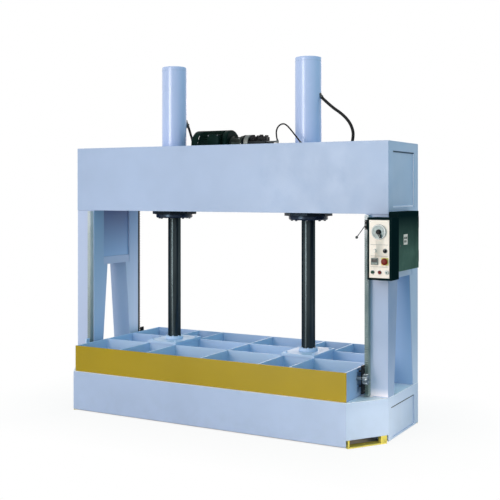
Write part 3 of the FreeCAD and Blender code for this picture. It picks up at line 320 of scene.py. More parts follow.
def set_on(name, shape, spots, finish, slot, node=None, body="frame", seed=0):
    """Sets the same small part on each spot, a (place in mm, aim) pair, as one piece.

    With a seed each is turned by chance, up to 30 degrees either way, as screws are.
    """
    bmesh.ops.recalc_face_normals(shape, faces=shape.faces)
    part = meshed(name + "_one", shape, finish)
    mesh = bpy.data.meshes.new(name)
    mesh.from_pydata([Vector(at) * MM for at, _ in spots], [], [])
    aims = mesh.attributes.new("aim", "FLOAT_VECTOR", "POINT")
    for i, (_, aim) in enumerate(spots):
        aims.data[i].vector = aim
    obj = in_scene(name, mesh)
    grow(obj, SETTING, Part=part, Twist=math.radians(30 if seed else 0), Seed=seed, Finish=finish)
    bpy.data.objects.remove(part)
    riding(obj, body, slot, node)


pad = turned(eased([(0, -6), (29, -6), (32, -3), (32, 2), (27, 6), (17, 6), (17, 5), (0, 5)], 1.2),
             sides=40)
set_on("floor_pads", pad, [(at, UP) for at in middles("levelling_pads")],
       moulded_rubber("pad_rubber", shade(30, 30, 32), shade(58, 57, 55)), "pad_rubber",
       "levelling_pads")


# ---------------------------------------------------------------- base
# A low box folded and welded from 8 mm sheet round two floor joists and a middle one. The
# table plate is 30 mm steel, planed on top. Everything is sprayed in one coat of enamel.

LILAC_BLUE = shade(173, 187, 217)


def shop_enamel(name, colour, patches=(), dusty=0.0, gloss=0.36, chips=0.30, shine=0.27, coat=0.0):
    """Sprayed machine enamel: faint orange peel, cloudy in the light, rubbed on its edges.

    A patch is a box, by two corners in metres, and its colour, or its colours at foot and top. Most
    patches are painted light and shade.
    """
    mix = Finish(name, gloss, Specular_IOR_Level=shine, Coat_Weight=coat, Coat_Roughness=0.2)
    deep = toned(colour, 0.93)
    paint = mix.between(mix.blotches(0.55, 3, 0.30, 0.70), deep, toned(colour, 1.05))
    paint = mix.between(mix.times(mix.blotches(0.012, 3, 0.40, 0.75), 0.10), paint, deep)
    height = mix.axes()[2]
    dirt = mix.times(mix.spread(height, 0.30, 0.0, 0.0, dusty), mix.blotches(0.09, 5, 0.42, 0.72))
    paint = mix.between(dirt, paint, toned(colour, (0.52, 0.48, 0.40)))
    for low, high, *tones in patches:
        tone = mix.between(mix.spread(height, low[2], high[2]), tones[0], tones[-1])
        paint = mix.between(mix.within(low, high), paint, tone)
    rubbed = mix.times(mix.edges(0.005), mix.blotches(0.02, 4, 0.48, 0.66, 0.0, chips))
    return mix.laid(mix.between(rubbed, paint, toned(colour, 0.55, 0.30)),
                    mix.blotches(0.16, 4, 0.3, 0.7, gloss - 0.05, gloss + 0.09),
                    (mix.cloud(0.0045, 1), 0.00008), (mix.cloud(0.28, 2), 0.0009))


def dressed(node, name, finish, slot, burr, body="frame"):
    """A piece of the frame in its finish, with its edges eased by the burr in mm."""
    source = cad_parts[node]
    shape = bmesh.new()
    shape.from_mesh(source.data)
    shape.transform(source.matrix_world)
    bmesh.ops.remove_doubles(shape, verts=shape.verts, dist=2e-6)
    bmesh.ops.dissolve_limit(shape, angle_limit=math.radians(1), verts=shape.verts,
                             edges=shape.edges, delimit={"NORMAL"})
    obj = meshed(name, shape, finish, 0 if burr else CREASE)
    if burr:
        soft = obj.modifiers.new("edges", "BEVEL")
        soft.width = burr * MM
        soft.segments = 2
        soft.limit_method = "ANGLE"
        soft.angle_limit = math.radians(32)
        flat = obj.modifiers.new("flats", "WEIGHTED_NORMAL")
        flat.mode = "FACE_AREA"
        flat.weight = 80
        made_plain(obj)
    riding(obj, body, slot, node)


def box_into(shape, low, high, edge=1.0, segments=2):
    """Adds a block between two corners in mm, with its edges eased."""
    made = bmesh.ops.create_cube(shape, size=1.0)["verts"]
    for vert in made:
        vert.co = Vector([(low[i] + high[i]) / 2 + vert.co[i] * (high[i] - low[i])
                          for i in range(3)]) * MM
    if edge:
        rim = list({e for vert in made for e in vert.link_edges})
        bmesh.ops.bevel(shape, geom=rim, offset=edge * MM, segments=segments, profile=0.5,
                        affect="EDGES", clamp_overlap=True)


def blocks(boxes, edge=1.0, segments=2):
    """A new shape of blocks, each between two corners in mm."""
    shape = bmesh.new()
    for low, high in boxes:
        box_into(shape, low, high, edge, segments)
    return shape


frame_paint = shop_enamel("frame_blue_enamel", LILAC_BLUE, dusty=0.12)
# The table plate's top face is painted near white as a painted highlight.
table_paint = shop_enamel("planed_table_enamel", LILAC_BLUE, [
    ((-1.45, -0.65, 0.3242), (1.45, 0.65, 0.33), shade(252, 250, 255))], dusty=0.12)
dressed("table_plate", "table_top", table_paint, "frame_blue", 0.8)
for node, name, burr in (("base_long_panels", "base_long_skirts", 0.5),
                         ("base_side_panels", "base_side_skirts", 0.8),
                         ("base_corner_panels", "base_corner_skirts", 0.5),
                         ("base_beams", "floor_joists", 1.5)):
    dressed(node, name, frame_paint, "frame_blue", burr)
# A thin dark strip on the right side panel is painted shadow, standing for the shadow gap under the
# panel's upper flange.
mastic = moulded_rubber("seam_mastic", shade(36, 44, 56), shade(56, 64, 76))
piece("side_panel_seam", blocks([((1429.2, -272, 243), (1430.3, 216, 250))], 0), mastic,
      "black_rubber")


# ---------------------------------------------------------------- corner feet
# A flat bar welded under each cut corner, with a stop plate and the hole for the floor
# bolt. They are picked out in safety yellow, painted paler than the pressing plate's as
# painted light on them.

safety_paint = shop_enamel("safety_yellow_enamel", shade(206, 190, 92), dusty=0.10, chips=0.4,
                           shine=0.25)
dressed("corner_feet", "floor_bolt_feet", safety_paint, "platen_yellow", 1.2)


# ---------------------------------------------------------------- columns
# Each end is two flame-cut legs, narrow at the foot and wide at the knee, boxed in with
# 12 mm plate, and tied by a recessed header under the beam. The seams are welded by hand.

# The headers' blue darkens towards the beam as painted shadow. On the left legs the front face of the
# front leg is painted paler, and the inner faces pale at the foot and darker towards the beam, as painted
# light and shade. On the right legs the outer face of the front leg is painted darker and the inner face
# of the rear leg deeper blue as painted shade, and the foot of the front leg near white as a painted pool
# of light.
header_paint = shop_enamel("leg_header_enamel", LILAC_BLUE, [
    ((-1.425, -0.19, 1.247), (1.425, 0.19, 1.66), shade(148, 178, 217), shade(92, 106, 150))])
left_leg_paint = shop_enamel("left_leg_enamel", LILAC_BLUE, [
    ((-1.44, -0.33, 0.33), (-1.2535, -0.3205, 1.66), shade(187, 197, 226)),
    ((-1.2530, -0.33, 0.33), (-1.24, -0.10, 1.66), shade(191, 211, 244), shade(134, 166, 199)),
    ((-1.2530, 0.10, 0.33), (-1.24, 0.33, 1.66), shade(210, 220, 236), shade(142, 166, 204))],
    dusty=0.12)
right_leg_paint = shop_enamel("right_leg_enamel", LILAC_BLUE, [
    ((1.4245, -0.324, 0.33), (1.44, -0.10, 1.66), shade(128, 149, 187)),
    ((1.27, -0.33, 0.32), (1.4235, -0.315, 0.39), shade(255, 246, 255), LILAC_BLUE),
    ((1.25, 0.10, 0.33), (1.4235, 0.25, 1.20), shade(148, 178, 218), shade(138, 168, 210))],
    dusty=0.12)
dressed("column_left_legs", "left_legs", left_leg_paint, "frame_blue", 2.0)
dressed("column_right_legs", "right_legs", right_leg_paint, "frame_blue", 2.0)
dressed("column_headers", "leg_headers", header_paint, "frame_blue", 1.5)

WELDING, given, add, close = geometry_tree(
    "weld_along_edges", ("Leg", "Float"), ("Ripple", "Float"))
path = add("GeometryNodeMeshToCurve", {"Mesh": given["Geometry"]})
pitch = add("ShaderNodeMath", {0: given["Leg"], 1: 1.1}, operation="MULTIPLY")
run = add("GeometryNodeResampleCurve", {"Curve": path, "Length": pitch}, mode="LENGTH")
odd = add("ShaderNodeMath", {0: add("GeometryNodeInputIndex"), 1: 2.0}, operation="MODULO")
swell = add("ShaderNodeMath", {0: odd, 1: given["Ripple"], 2: 1.0}, operation="MULTIPLY_ADD")
uneven = add("FunctionNodeRandomValue", {2: 0.9, 3: 1.08, "Seed": 7}, 1, data_type="FLOAT")
width = add("ShaderNodeMath", {0: swell, 1: uneven}, operation="MULTIPLY")
section = add("GeometryNodeCurvePrimitiveCircle", {"Resolution": 6, "Radius": given["Leg"]})
bead = add("GeometryNodeCurveToMesh",
           {"Curve": run, "Scale": width, "Profile Curve": section, "Fill Caps": True})
close(add("GeometryNodeSetShadeSmooth", {"Geometry": bead}))


def welded(name, lines, leg, finish, body="frame"):
    """Fillet welds of that leg in mm along each line, a list of places in mm."""
    mesh = bpy.data.meshes.new(name)
    points, edges = [], []
    for line in lines:
        edges += [(len(points) + i, len(points) + i + 1) for i in range(len(line) - 1)]
        points += [Vector(p) * MM for p in line]
    mesh.from_pydata(points, edges, [])
    obj = in_scene(name, mesh)
    grow(obj, WELDING, Leg=leg * MM, Ripple=0.22, Finish=finish)
    riding(obj, body, "frame_blue")


def both_ends(lines):
    """The lines and the same ones at the machine's other end."""
    return lines + [[(-x, y, z) for x, y, z in line] for line in lines]


def both_sides(lines):
    """The lines and the same ones on the machine's other side."""
    return lines + [[(x, -y, z) for x, y, z in line] for line in lines]


FOOT_SEAM = 326
TOP_SEAM = 1654
welded("column_welds", both_ends(both_sides([
    [(1306, 321, FOOT_SEAM), (1424, 321, FOOT_SEAM)],
    [(1250, 213, FOOT_SEAM), (1250, 319, FOOT_SEAM)],
    [(1252, 211, FOOT_SEAM), (1424, 211, FOOT_SEAM)],
    [(1306, 321, TOP_SEAM), (1420, 321, TOP_SEAM)],
    [(1250, 190, TOP_SEAM), (1250, 319, TOP_SEAM)],
    [(1420, 186, 1248), (1420, 186, TOP_SEAM - 2)]])), 3.6, frame_paint)


# ---------------------------------------------------------------- racks
# Four toothed bars of milled steel, screwed to the outer faces of the legs. The pinions
# climb them, so their teeth carry grey grease with dust in it. The steel is painted paler
# higher up and on the left pair as a painted sheen, and the rear pair black as painted shade.


def greased_steel(name):
    """Milled steel under grey grease, with a painted sheen higher up and on the left, and painted shade
    on the rear pair.
    """
    mix = Finish(name, 0.5, metallic=0.2, Specular_IOR_Level=0.3)
    along, across, height = mix.axes()
    film = mix.blotches(0.05, 4, 0.36, 0.68, stretch=(1, 1, 0.35))
    streak = mix.blotches(0.004, 2, 0.35, 0.70, stretch=(1, 1, 0.05))
    steel = mix.between(streak, shade(104, 124, 126), shade(124, 142, 144))
    steel = mix.between(mix.times(film, 0.7), steel, shade(84, 104, 104))
    # A painted sheen: the steel paler higher up, on the left pair, and bright above 1.5 m.
    wiped = mix.times(mix.spread(height, 0.4, 1.2, 0.1, 1.0), mix.spread(along, 0.1, -0.1, 0.3, 1.0))
    wiped = mix.times(wiped, mix.spread(streak, 0, 1, 0.6, 1.0))
    steel = mix.between(wiped, steel, shade(190, 200, 202))
    steel = mix.between(mix.spread(height, 1.44, 1.56), steel, shade(196, 204, 208))
    # The rear pair painted black as painted shade.
    steel = mix.between(mix.spread(across, -0.1, 0.1), steel, shade(16, 18, 20))
    return mix.laid(steel, mix.spread(film, 0, 1, 0.34, 0.55),
                    (mix.cloud(0.0009, 2, (1, 1, 0.2)), 0.00006))


dressed("racks", "toothed_racks", greased_steel("greased_rack_steel"), "greased_steel", 0)


# ---------------------------------------------------------------- beam
# The box girder over the table: front, rear and end plates of 12 and 24 mm round
# diaphragms, with a sunk panel milled in each end. The cylinders hang in it.

for node, name, burr in (("beam_front_plate", "beam_front", 2.0), ("beam_rear_plate", "beam_rear", 2.0),
                         ("beam_end_plates", "beam_ends", 1.5), ("beam_bottom_plate", "beam_bottom", 1.0),
                         ("beam_top_plates", "beam_top", 1.0), ("beam_diaphragms", "beam_webs", 0.8)):
    dressed(node, name, frame_paint, "frame_blue", burr)

BEAM_TOP = 2190
beam_seams = both_sides([[(-504, 313, BEAM_TOP - 8), (504, 313, BEAM_TOP - 8)]])
beam_seams += both_ends([[(505, -309, BEAM_TOP - 13), (505, 309, BEAM_TOP - 13)]])
welded("beam_welds", beam_seams, 3.6, frame_paint)

# Each sunk panel gets a dark strip along its top as painted shadow, and a pale bead along its foot and
# pale welds up its back corners as painted highlight.
PANEL_SIDE = 232
PANEL_FOOT, BEAD_TOP = 1700.3, 1712.3
PANEL_TOP, JOINT_FOOT = 2117.7, 2108.7
PANEL_DEPTHS = ((-1426, -1420.2), (1420.2, 1426))
joints = blocks([((low, -PANEL_SIDE, JOINT_FOOT), (high, PANEL_SIDE, PANEL_TOP))
                 for low, high in PANEL_DEPTHS], 0)
beads = blocks([((low, -PANEL_SIDE, PANEL_FOOT), (high, PANEL_SIDE, BEAD_TOP))
                for low, high in PANEL_DEPTHS], 2)
panel_mastic = moulded_rubber("panel_mastic", shade(52, 70, 92), shade(66, 86, 108))
pale_sealant = moulded_rubber("pale_sealant", shade(255, 240, 255), shade(246, 232, 248))
piece("end_panel_seams", joints, panel_mastic, "black_rubber")
piece("end_panel_beads", beads, pale_sealant, "frame_blue")
welded("end_panel_welds", both_ends(both_sides([
    [(1421, PANEL_SIDE, BEAD_TOP), (1421, PANEL_SIDE, JOINT_FOOT)]])), 6, pale_sealant)


# ---------------------------------------------------------------- oil tank
# The bay between the cylinders is the oil tank. Its lid is a bolted plate that the pump
# set stands on.


def plated_steel(name, colour=shade(186, 188, 184), rough=0.30):
    """Zinc or black oxide on small steel parts: a faint straw bloom over fine crystals."""
    mix = Finish(name, rough, metallic=0.9)
    bloom = mix.blotches(0.018, 3, 0.35, 0.65)
    return mix.laid(mix.between(bloom, colour, toned(colour, (0.97, 0.96, 0.92))),
                    mix.blotches(0.003, 3, 0.3, 0.7, rough - 0.06, rough + 0.12),
                    (mix.cloud(0.0012, 2), 0.00003))


def hex_screw(across, head, washer, thickness=2.0):
    """A hexagon head with its turned chamfer on a plain washer, aimed along its own z."""
    corner = across / math.sqrt(3)
    foot = thickness - 0.2
    shape = turned(eased([(0, 0), (washer, 0), (washer, thickness), (0, thickness)], 0.4, 2), sides=28)
    turn_into(shape, [(0, foot), (corner, foot), (corner, head - 0.12 * across), (corner * 0.86, head),
                      (corner * 0.5, head), (corner * 0.46, head - 0.6), (0, head - 0.6)], sides=6)
    return shape


zinc = plated_steel("bright_zinc")
dressed("oil_tank", "tank_bay", frame_paint, "frame_blue", 1.0)
LID = 2076
lid_holes = [(x, y) for x in range(-480, 481, 120) for y in (-292, 292)]
lid_holes += [(x, y) for x in (-480, 480) for y in (-180, 0, 180) if (x, y) != (480, 0)]
set_on("tank_lid_bolts", hex_screw(16, 8.5, 12), [((x, y, LID), UP) for x, y in lid_holes], zinc,
       "zinc_plated", seed=3)


# ---------------------------------------------------------------- cylinders
# Two honed steel tubes with a welded cap, sprayed with the frame. Each drops through the
# beam and is bolted up by an eight-sided flange, black against the blue.

CYLINDERS = (-636, 636)
TUBE_FOOT, TUBE_TOP, TUBE_RADIUS, TUBE_BORE = 1625, 2882, 105.5, 80.3
DOWN = (0, 0, -1)


def at_each_cylinder(outline, sides, bored=True):
    """A new shape with the same turned solid on the axis of each cylinder."""
    shape = bmesh.new()
    for x in CYLINDERS:
        turn_into(shape, outline, (x, 0, 0), sides=sides, bored=bored)
    return shape


def black_enamel(name, colour, gloss=0.34, shine=0.10):
    """Black brushing enamel over machined castings, with a little blue in its shine."""
    mix = Finish(name, gloss, Specular_IOR_Level=shine, Specular_Tint=(0.5, 0.75, 1.0, 1))
    dust = mix.blotches(0.06, 5, 0.45, 0.75, 0.0, 0.35)
    coat = mix.between(dust, colour, toned(colour, 1.5, 0.008))
    rub = mix.times(mix.edges(0.003), mix.blotches(0.01, 3, 0.45, 0.65, 0.0, 0.4))
    return mix.laid(mix.between(rub, coat, shade(84, 90, 92)),
                    mix.blotches(0.03, 4, 0.3, 0.7, gloss - 0.08, gloss + 0.12),
                    (mix.cloud(0.002, 2), 0.00008))


# The barrels' blue is paler and bluer than the frame's, as painted light on their rounded faces.
barrel_paint = shop_enamel("barrel_blue_enamel", shade(187, 200, 237), gloss=0.3, shine=0.32, coat=0.4)
wall = [(TUBE_BORE, TUBE_FOOT), (TUBE_RADIUS, TUBE_FOOT), (TUBE_RADIUS, TUBE_TOP - 30),
        (TUBE_RADIUS, TUBE_TOP - 4), (TUBE_RADIUS - 5, TUBE_TOP), (34, TUBE_TOP), (30, TUBE_TOP - 2),
        (0, TUBE_TOP - 2), (0, TUBE_TOP - 23), (TUBE_BORE, TUBE_TOP - 23)]
piece("cylinder_barrels", at_each_cylinder(eased(wall, 3, 3), 128), barrel_paint, "frame_blue",
      "cylinder_tubes")


def rings_round(radius, height, steps):
    """A closed line round each cylinder."""
    turns = [math.tau * k / steps for k in range(steps + 1)]
    return [[(x + radius * math.cos(a), radius * math.sin(a), height) for a in turns]
            for x in CYLINDERS]


welded("cylinder_welds", rings_round(108, BEAM_TOP, 40), 4.5, frame_paint)
welded("cylinder_cap_welds", rings_round(TUBE_RADIUS - 0.6, TUBE_TOP - 32, 64), 1.4, frame_paint)
black = black_enamel("black_machine_enamel", shade(20, 25, 33))
dressed("cylinder_flanges", "hanging_flanges", black, "black_paint", 2.5)
GLAND_FACE = 1593
gland = eased([(54.9, TUBE_FOOT), (156, TUBE_FOOT), (156, GLAND_FACE + 9), (149, GLAND_FACE),
               (98, GLAND_FACE), (94, GLAND_FACE + 4), (72, GLAND_FACE + 4), (70, GLAND_FACE),
               (58, GLAND_FACE), (54.9, GLAND_FACE + 4)], 1.5, 3)
piece("gland_rings", at_each_cylinder(gland, 96),
      black_enamel("gland_blue_black", shade(20, 24, 44), 0.26, 0.35), "black_paint",
      "cylinder_glands")
dark_bolts = plated_steel("black_oxide_steel", shade(74, 78, 84), 0.38)
set_on("flange_screws", hex_screw(17.3, 8, 10, 1.5),
       [((x, y, GLAND_FACE), DOWN) for x, y, _ in middles("flange_bolts")], dark_bolts, "machined_steel",
       "flange_bolts", seed=5)


# ---------------------------------------------------------------- motor
# A finned four-pole motor lies on the tank lid. Its barrel and shields are cast iron in
# dark green, its fan cowl is drawn sheet, and its terminal box faces the operator.

MOTOR_Z = 2208
MOTOR_AXIS = (0, 0, MOTOR_Z)
ALONG = (1, 0, 0)


def slab_into(shape, outline, low, high, lay=lambda u, v, w: (w, u, v)):
    """Adds a flat-cut slab, its outline in mm, from low to high: along the machine, or as laid."""
    sides = [[shape.verts.new(Vector(lay(u, v, w)) * MM) for u, v in outline] for w in (low, high)]
    shape.faces.new(sides[0])
    shape.faces.new(list(reversed(sides[1])))
    for i in range(len(outline)):
        j = (i + 1) % len(outline)
        shape.faces.new((sides[0][i], sides[1][i], sides[1][j], sides[0][j]))


def around(count, start=0.0):
    """The cosine and the sine of count places spread round a circle."""
    angles = [math.radians(start + 360.0 * i / count) for i in range(count)]
    return [(math.cos(a), math.sin(a)) for a in angles]


def off_axis(x, radius, y, z):
    """A place off the motor's axis, at x along it."""
    return (x, radius * y, MOTOR_Z + radius * z)


motor_paint = black_enamel("motor_green_enamel", shade(12, 32, 26), 0.36, 0.03)
motor = turned(eased([(0, -325), (114, -325), (119.5, -321), (119.5, -313), (108, -309), (108, -101),
                      (119.5, -97), (119.5, -62), (114, -55), (70, -55), (66, -58), (0, -58)], 3, 3),
               MOTOR_AXIS, ALONG, 96)
foot = eased([(-106, LID), (106, LID), (106, LID + 14), (66, LID + 20), (52, LID + 60),
              (-52, LID + 60), (-66, LID + 20), (-106, LID + 14)], 5, 3, True)
for left in (-300, -160):
    slab_into(motor, foot, left, left + 52)
for y, z in around(4, 45):
    turn_into(motor, eased([(0, -100), (11, -100), (11, -56), (8, -53), (0, -53)], 1.5, 2),
              off_axis(0, 106, y, z), ALONG, 20)
piece("motor_barrel", motor, motor_paint, "motor_green", "motor_housing")
fin = bmesh.new()
slab_into(fin, eased([(-2.6, -3), (2.6, -3), (1.6, 12), (-1.6, 12)], 1.2, 3, True), -104, 104)
set_on("motor_fins", fin, [(off_axis(-205, 107, y, z), (0, y, z)) for y, z in around(40, 4.5)],
       motor_paint, "motor_green")

cowl = turned(eased([(117, -325.5), (120, -325.5), (120, -384), (108, -397), (86, -397), (86, -394),
                     (106, -393), (117, -381)], 3, 4, True), MOTOR_AXIS, ALONG, 96, bored=True)
for radius in (18, 34, 50, 66, 82):
    turn_into(cowl, [(radius + 2 * c, -395 + 1.6 * s) for c, s in around(8)], MOTOR_AXIS, ALONG, 72,
              bored=True)
turn_into(cowl, [(0, -397), (17, -397), (17, -393.5), (0, -393.5)], MOTOR_AXIS, ALONG, 32)
for y, z in around(8, 22.5):
    turn_into(cowl, [(0, -36), (1.5, -36), (1.5, 36), (0, 36)], off_axis(-395, 50, y, z), (0, y, z), 8)
piece("motor_cowl", cowl, motor_paint, "motor_green", "motor_fan_cowl")

terminal = blocks([((-203, -151, 2186), (-99, -120.3, 2284))], 3)
box_into(terminal, (-205, -163.2, 2184), (-97, -152, 2286), 4, 3)
for x in (-170, -132):
    turn_into(terminal, [(0, 2168), (9, 2168), (9, 2180), (11.5, 2180), (11.5, 2187), (0, 2187)],
              (x, -137, 0), sides=6)
piece("terminal_box", terminal, motor_paint, "motor_green", "motor_terminal_box")
set_on("terminal_box_screws", hex_screw(8, 4, 5.5, 1), [
    ((x, -163, z), (0, -1, 0)) for x in (-195, -107) for z in (2194, 2276)], dark_bolts,
    "machined_steel", seed=9)


def bright_steel(name, colour, rough, stretch, marks=0.004):
    """Machined steel: fine tool marks run the way that stretch draws them out."""
    mix = Finish(name, rough, metallic=1.0)
    lines = mix.blotches(marks, 2, 0.3, 0.7, stretch=stretch)
    return mix.laid(mix.between(lines, toned(colour, 0.72), colour),
                    mix.blotches(0.02, 4, 0.3, 0.7, rough - 0.06, rough + 0.10), (lines, 0.00002))


dressed("motor_rotor", "motor_shaft_and_fan",
        bright_steel("rotor_steel", shade(120, 124, 126), 0.35, (0.1, 1, 1)), "machined_steel", 0,
        body="motor_rotor")


# ---------------------------------------------------------------- pump and valves
# A cast aluminium bellhousing joins the motor to a gear pump. A drilled steel block beside
# it carries two solenoid valves, each a body with a coil at either end.


def sand_cast(name, colour):
    """Sand-cast aluminium: a matt grey skin with a fine open grain and darker pits."""
    mix = Finish(name, 0.5, metallic=0.75)
    pits = mix.blotches(0.0035, 3, 0.45, 0.70)
    skin = mix.between(mix.blotches(0.04, 3, 0.35, 0.65), colour, toned(colour, 1.15))
    return mix.laid(mix.between(mix.times(pits, 0.6), skin, toned(colour, 0.7)),
                    mix.spread(pits, 0, 1, 0.42, 0.62), (mix.cloud(0.0018, 3), 0.0002))


bell = turned(eased([(28, -55), (66, -55), (66, -47), (56, -42), (52, -20), (55, 32), (69, 36),
                     (69, 58), (66, 60), (28, 60)], 3, 3, True), MOTOR_AXIS, ALONG, 72, bored=True)
for y, z in around(6, 30):
    turn_into(bell, [(0, -45), (3.5, -45), (3.5, 34), (0, 34)], off_axis(0, 57, y, z), ALONG, 8)
piece("pump_bellhousing", bell, sand_cast("oil_darkened_casting", shade(32, 42, 38)),
      "cast_aluminium", "bellhousing")
gears = turned(eased([(67.3, 81), (74.5, 84), (74.5, 122), (67.3, 125)], 1.5, 3, True), MOTOR_AXIS,
               ALONG, 72, bored=True)
piece("pump_gear_case", gears, sand_cast("cast_aluminium_skin", shade(104, 110, 108)),
      "cast_aluminium")
pump = turned(eased([(0, 60), (70, 60), (74.5, 63), (74.5, 76), (67, 79), (67, 128), (62, 130),
                     (0, 130)], 2, 3), MOTOR_AXIS, ALONG, 72)
box_into(pump, (64, -60, LID), (126, 60, MOTOR_Z - 40), 5, 3)
piece("gear_pump", pump, black_enamel("oily_black_enamel", shade(12, 18, 20), shine=0.04),
      "black_paint", "pump")
set_on("pump_screws", hex_screw(13, 8, 9, 1.6), [
    (off_axis(x, 62, y, z), (-1, 0, 0)) for x, places in ((60.2, around(6)), (35.8, around(4, 45)))
    for y, z in places], zinc, "zinc_plated", seed=11)


def moulded_plastic(name, colour, rough=0.38):
    """Moulded plastic with the spark-eroded grain of its mould and a little wear on edges."""
    mix = Finish(name, rough, Specular_IOR_Level=0.12)
    tone = mix.blotches(0.02, 3, 0.35, 0.7)
    base = mix.between(tone, toned(colour, 0.86), colour)
    worn = mix.between(mix.times(mix.edges(0.0012), 0.6), base, toned(colour, 1.25, 0.02))
    return mix.laid(worn, mix.spread(tone, 0, 1, rough + 0.08, rough), (mix.cloud(0.0012, 2), 0.00006))


BLOCK_TOP = 2229
valves = blocks([((130, -75, LID), (290, 75, BLOCK_TOP))], 2.5, 3)
coils = bmesh.new()
for left in (137, 213):
    box_into(valves, (left + 3, -26, BLOCK_TOP), (left + 47, 26, 2268), 2, 2)
    for side in (-1, 1):
        turn_into(valves, [(0, 60), (7, 60), (7, 68), (5, 70), (0, 70)], (left + 25, 0, 2249),
                  (0, side, 0), 24)
        low, high = sorted((side * 27, side * 61))
        box_into(coils, (left + 4, low, 2232), (left + 46, high, 2264), 4, 3)
        box_into(coils, (left + 13, low + 4, 2262), (left + 37, high - 4, 2279), 3, 2)
for y in (-52, 0, 52):
    turn_into(valves, eased([(0, 289), (13, 289), (13, 296), (9, 296), (9, 294), (0, 294)], 1, 2),
              (0, y, 2120), ALONG, 24)
piece("valve_manifold", valves, bright_steel("blackened_block_steel", shade(30, 34, 36), 0.42,
                                             (1, 0.06, 1)), "machined_steel", "valve_block")
black_plastic = moulded_plastic("black_moulding", shade(18, 19, 22))
piece("solenoid_coils", coils, black_plastic, "black_plastic")


# ---------------------------------------------------------------- hoses
# Two braided return hoses and a thin pilot hose, black rubber outside. Each is crimped in
# a plated ferrule at both ends and hangs in the curve that its own stiffness gives it.

rubber = moulded_rubber("hose_rubber", shade(9, 10, 11), shade(22, 23, 25))


def hose(name, points, radius, node):
    """A hose along its points in mm, from the fitting where it leaves to the other one."""
    curve = bpy.data.curves.new(name, "CURVE")
    curve.dimensions = "3D"
    spline = curve.splines.new("NURBS")
    spline.points.add(len(points) - 1)
    for control, place in zip(spline.points, points):
        control.co = (*[v * MM for v in place], 1.0)
    spline.order_u = 3
    spline.use_endpoint_u = True
    spline.resolution_u = 14
    curve.bevel_depth = radius * MM
    curve.bevel_resolution = 6
    curve.use_fill_caps = True
    curve.materials.append(rubber)
    obj = riding(in_scene(name, curve), "frame", "black_rubber", node)


hose("right_return_hose", [(752, 0, 2560), (835, 0, 2483), (925, 0, 2424), (987, 0, 2360),
                           (1015, 0, 2300), (1021, 0, 2250), (1012, 0, 2206)], 12,
     "hose_right")
hose("left_return_hose", [(-531, 62, 2366), (-514, 66, 2312), (-492, 62, 2252), (-470, 52, 2196),
                          (-458, 44, 2142), (-457, 42, 2108)], 10, "hose_left")
hose("pilot_hose", [(386, -60, 2239), (383, -63, 2269), (384, -68, 2302), (403, -77, 2335),
                    (437, -88, 2355), (476, -101, 2355), (510, -115, 2335), (549, -134, 2302),
                    (590, -155, 2264), (628, -176, 2232), (652, -189, 2206)], 6,
     "hose_pilot")
dull_zinc = plated_steel("oiled_dull_zinc", shade(74, 80, 82), 0.45)
dressed("hose_fittings", "hose_ends_and_pipes", dull_zinc, "zinc_plated", 0)


# ---------------------------------------------------------------- pressing plate
# The moving plate is a flat bottom plate under an egg-crate of slotted ribs, welded in
# every corner, with a deep front rail that is painted yellow.

# The plate's blue is paler than the frame's as painted light in its cells, and its end faces are painted
# deeper blue as painted shade.
PLATE_BLUE = shade(194, 216, 244)
END_BLUE = shade(118, 148, 190)
platen_paint = shop_enamel("platen_blue_enamel", PLATE_BLUE, [
    ((-1.3, -0.65, 0.3), (-1.2175, 0.65, 1.6), END_BLUE),
    ((1.2175, -0.65, 0.3), (1.3, 0.65, 1.6), END_BLUE)])
for node, name in (("platen_plate", "pressing_plate"), ("platen_edge_plates", "plate_rims"),
                   ("platen_long_ribs", "long_ribs"), ("platen_cross_ribs", "cross_ribs")):
    dressed(node, name, platen_paint, "frame_blue", 1.0, body="platen")
rail_paint = shop_enamel("rail_yellow_enamel", shade(165, 138, 9), chips=0.45, shine=0.25)
dressed("platen_front_rail", "front_rail", rail_paint, "platen_yellow", 2.2, body="platen")

RIB_X = (-766, -506, 0, 506, 766)
FLOOR, RIM = 351, 531
END_X, SIDE_Y = 1203, 595
rib_seams = []
for x in RIB_X:
    for near in (x - 6, x + 6):
        rib_seams += [[(near, y, FLOOR), (near, y, RIM)]
                      for y in (-595.5, -191, -179, 179, 191, 595.5)]
        rib_seams += [[(near, low, FLOOR), (near, high, FLOOR)]
                      for low, high in ((-590, -195), (-175, 175), (195, 590))]
stops = [-1200, *[x + s for x in RIB_X for s in (-10, 10)], 1200]
for near in (-191, -179, 179, 191):
    rib_seams += [[(x, near, FLOOR), (x, near, RIM)] for x in (-1203.5, 1203.5)]
    rib_seams += [[(low, near, FLOOR), (high, near, FLOOR)] for low, high in zip(stops[::2], stops[1::2])]
welded("rib_welds", rib_seams, 3.4, platen_paint, "platen")
rim_seams = [[(1 - END_X, y, FLOOR), (END_X - 1, y, FLOOR)] for y in (-SIDE_Y, SIDE_Y)]
rim_seams += [[(x, 2 - SIDE_Y, FLOOR), (x, SIDE_Y - 2, FLOOR)] for x in (-END_X, END_X)]
rim_seams += [[(x, y, FLOOR), (x, y, RIM)] for x in (-END_X, END_X) for y in (-SIDE_Y, SIDE_Y)]
welded("rim_welds", rim_seams, 3.4, platen_paint, "platen")


# ---------------------------------------------------------------- rods
# Each ram ends in a chromed rod, turned, ground and polished, with a spigot that a collar
# and a plate hold down on the ribs. Oil that the wiper leaves darkens it a little.


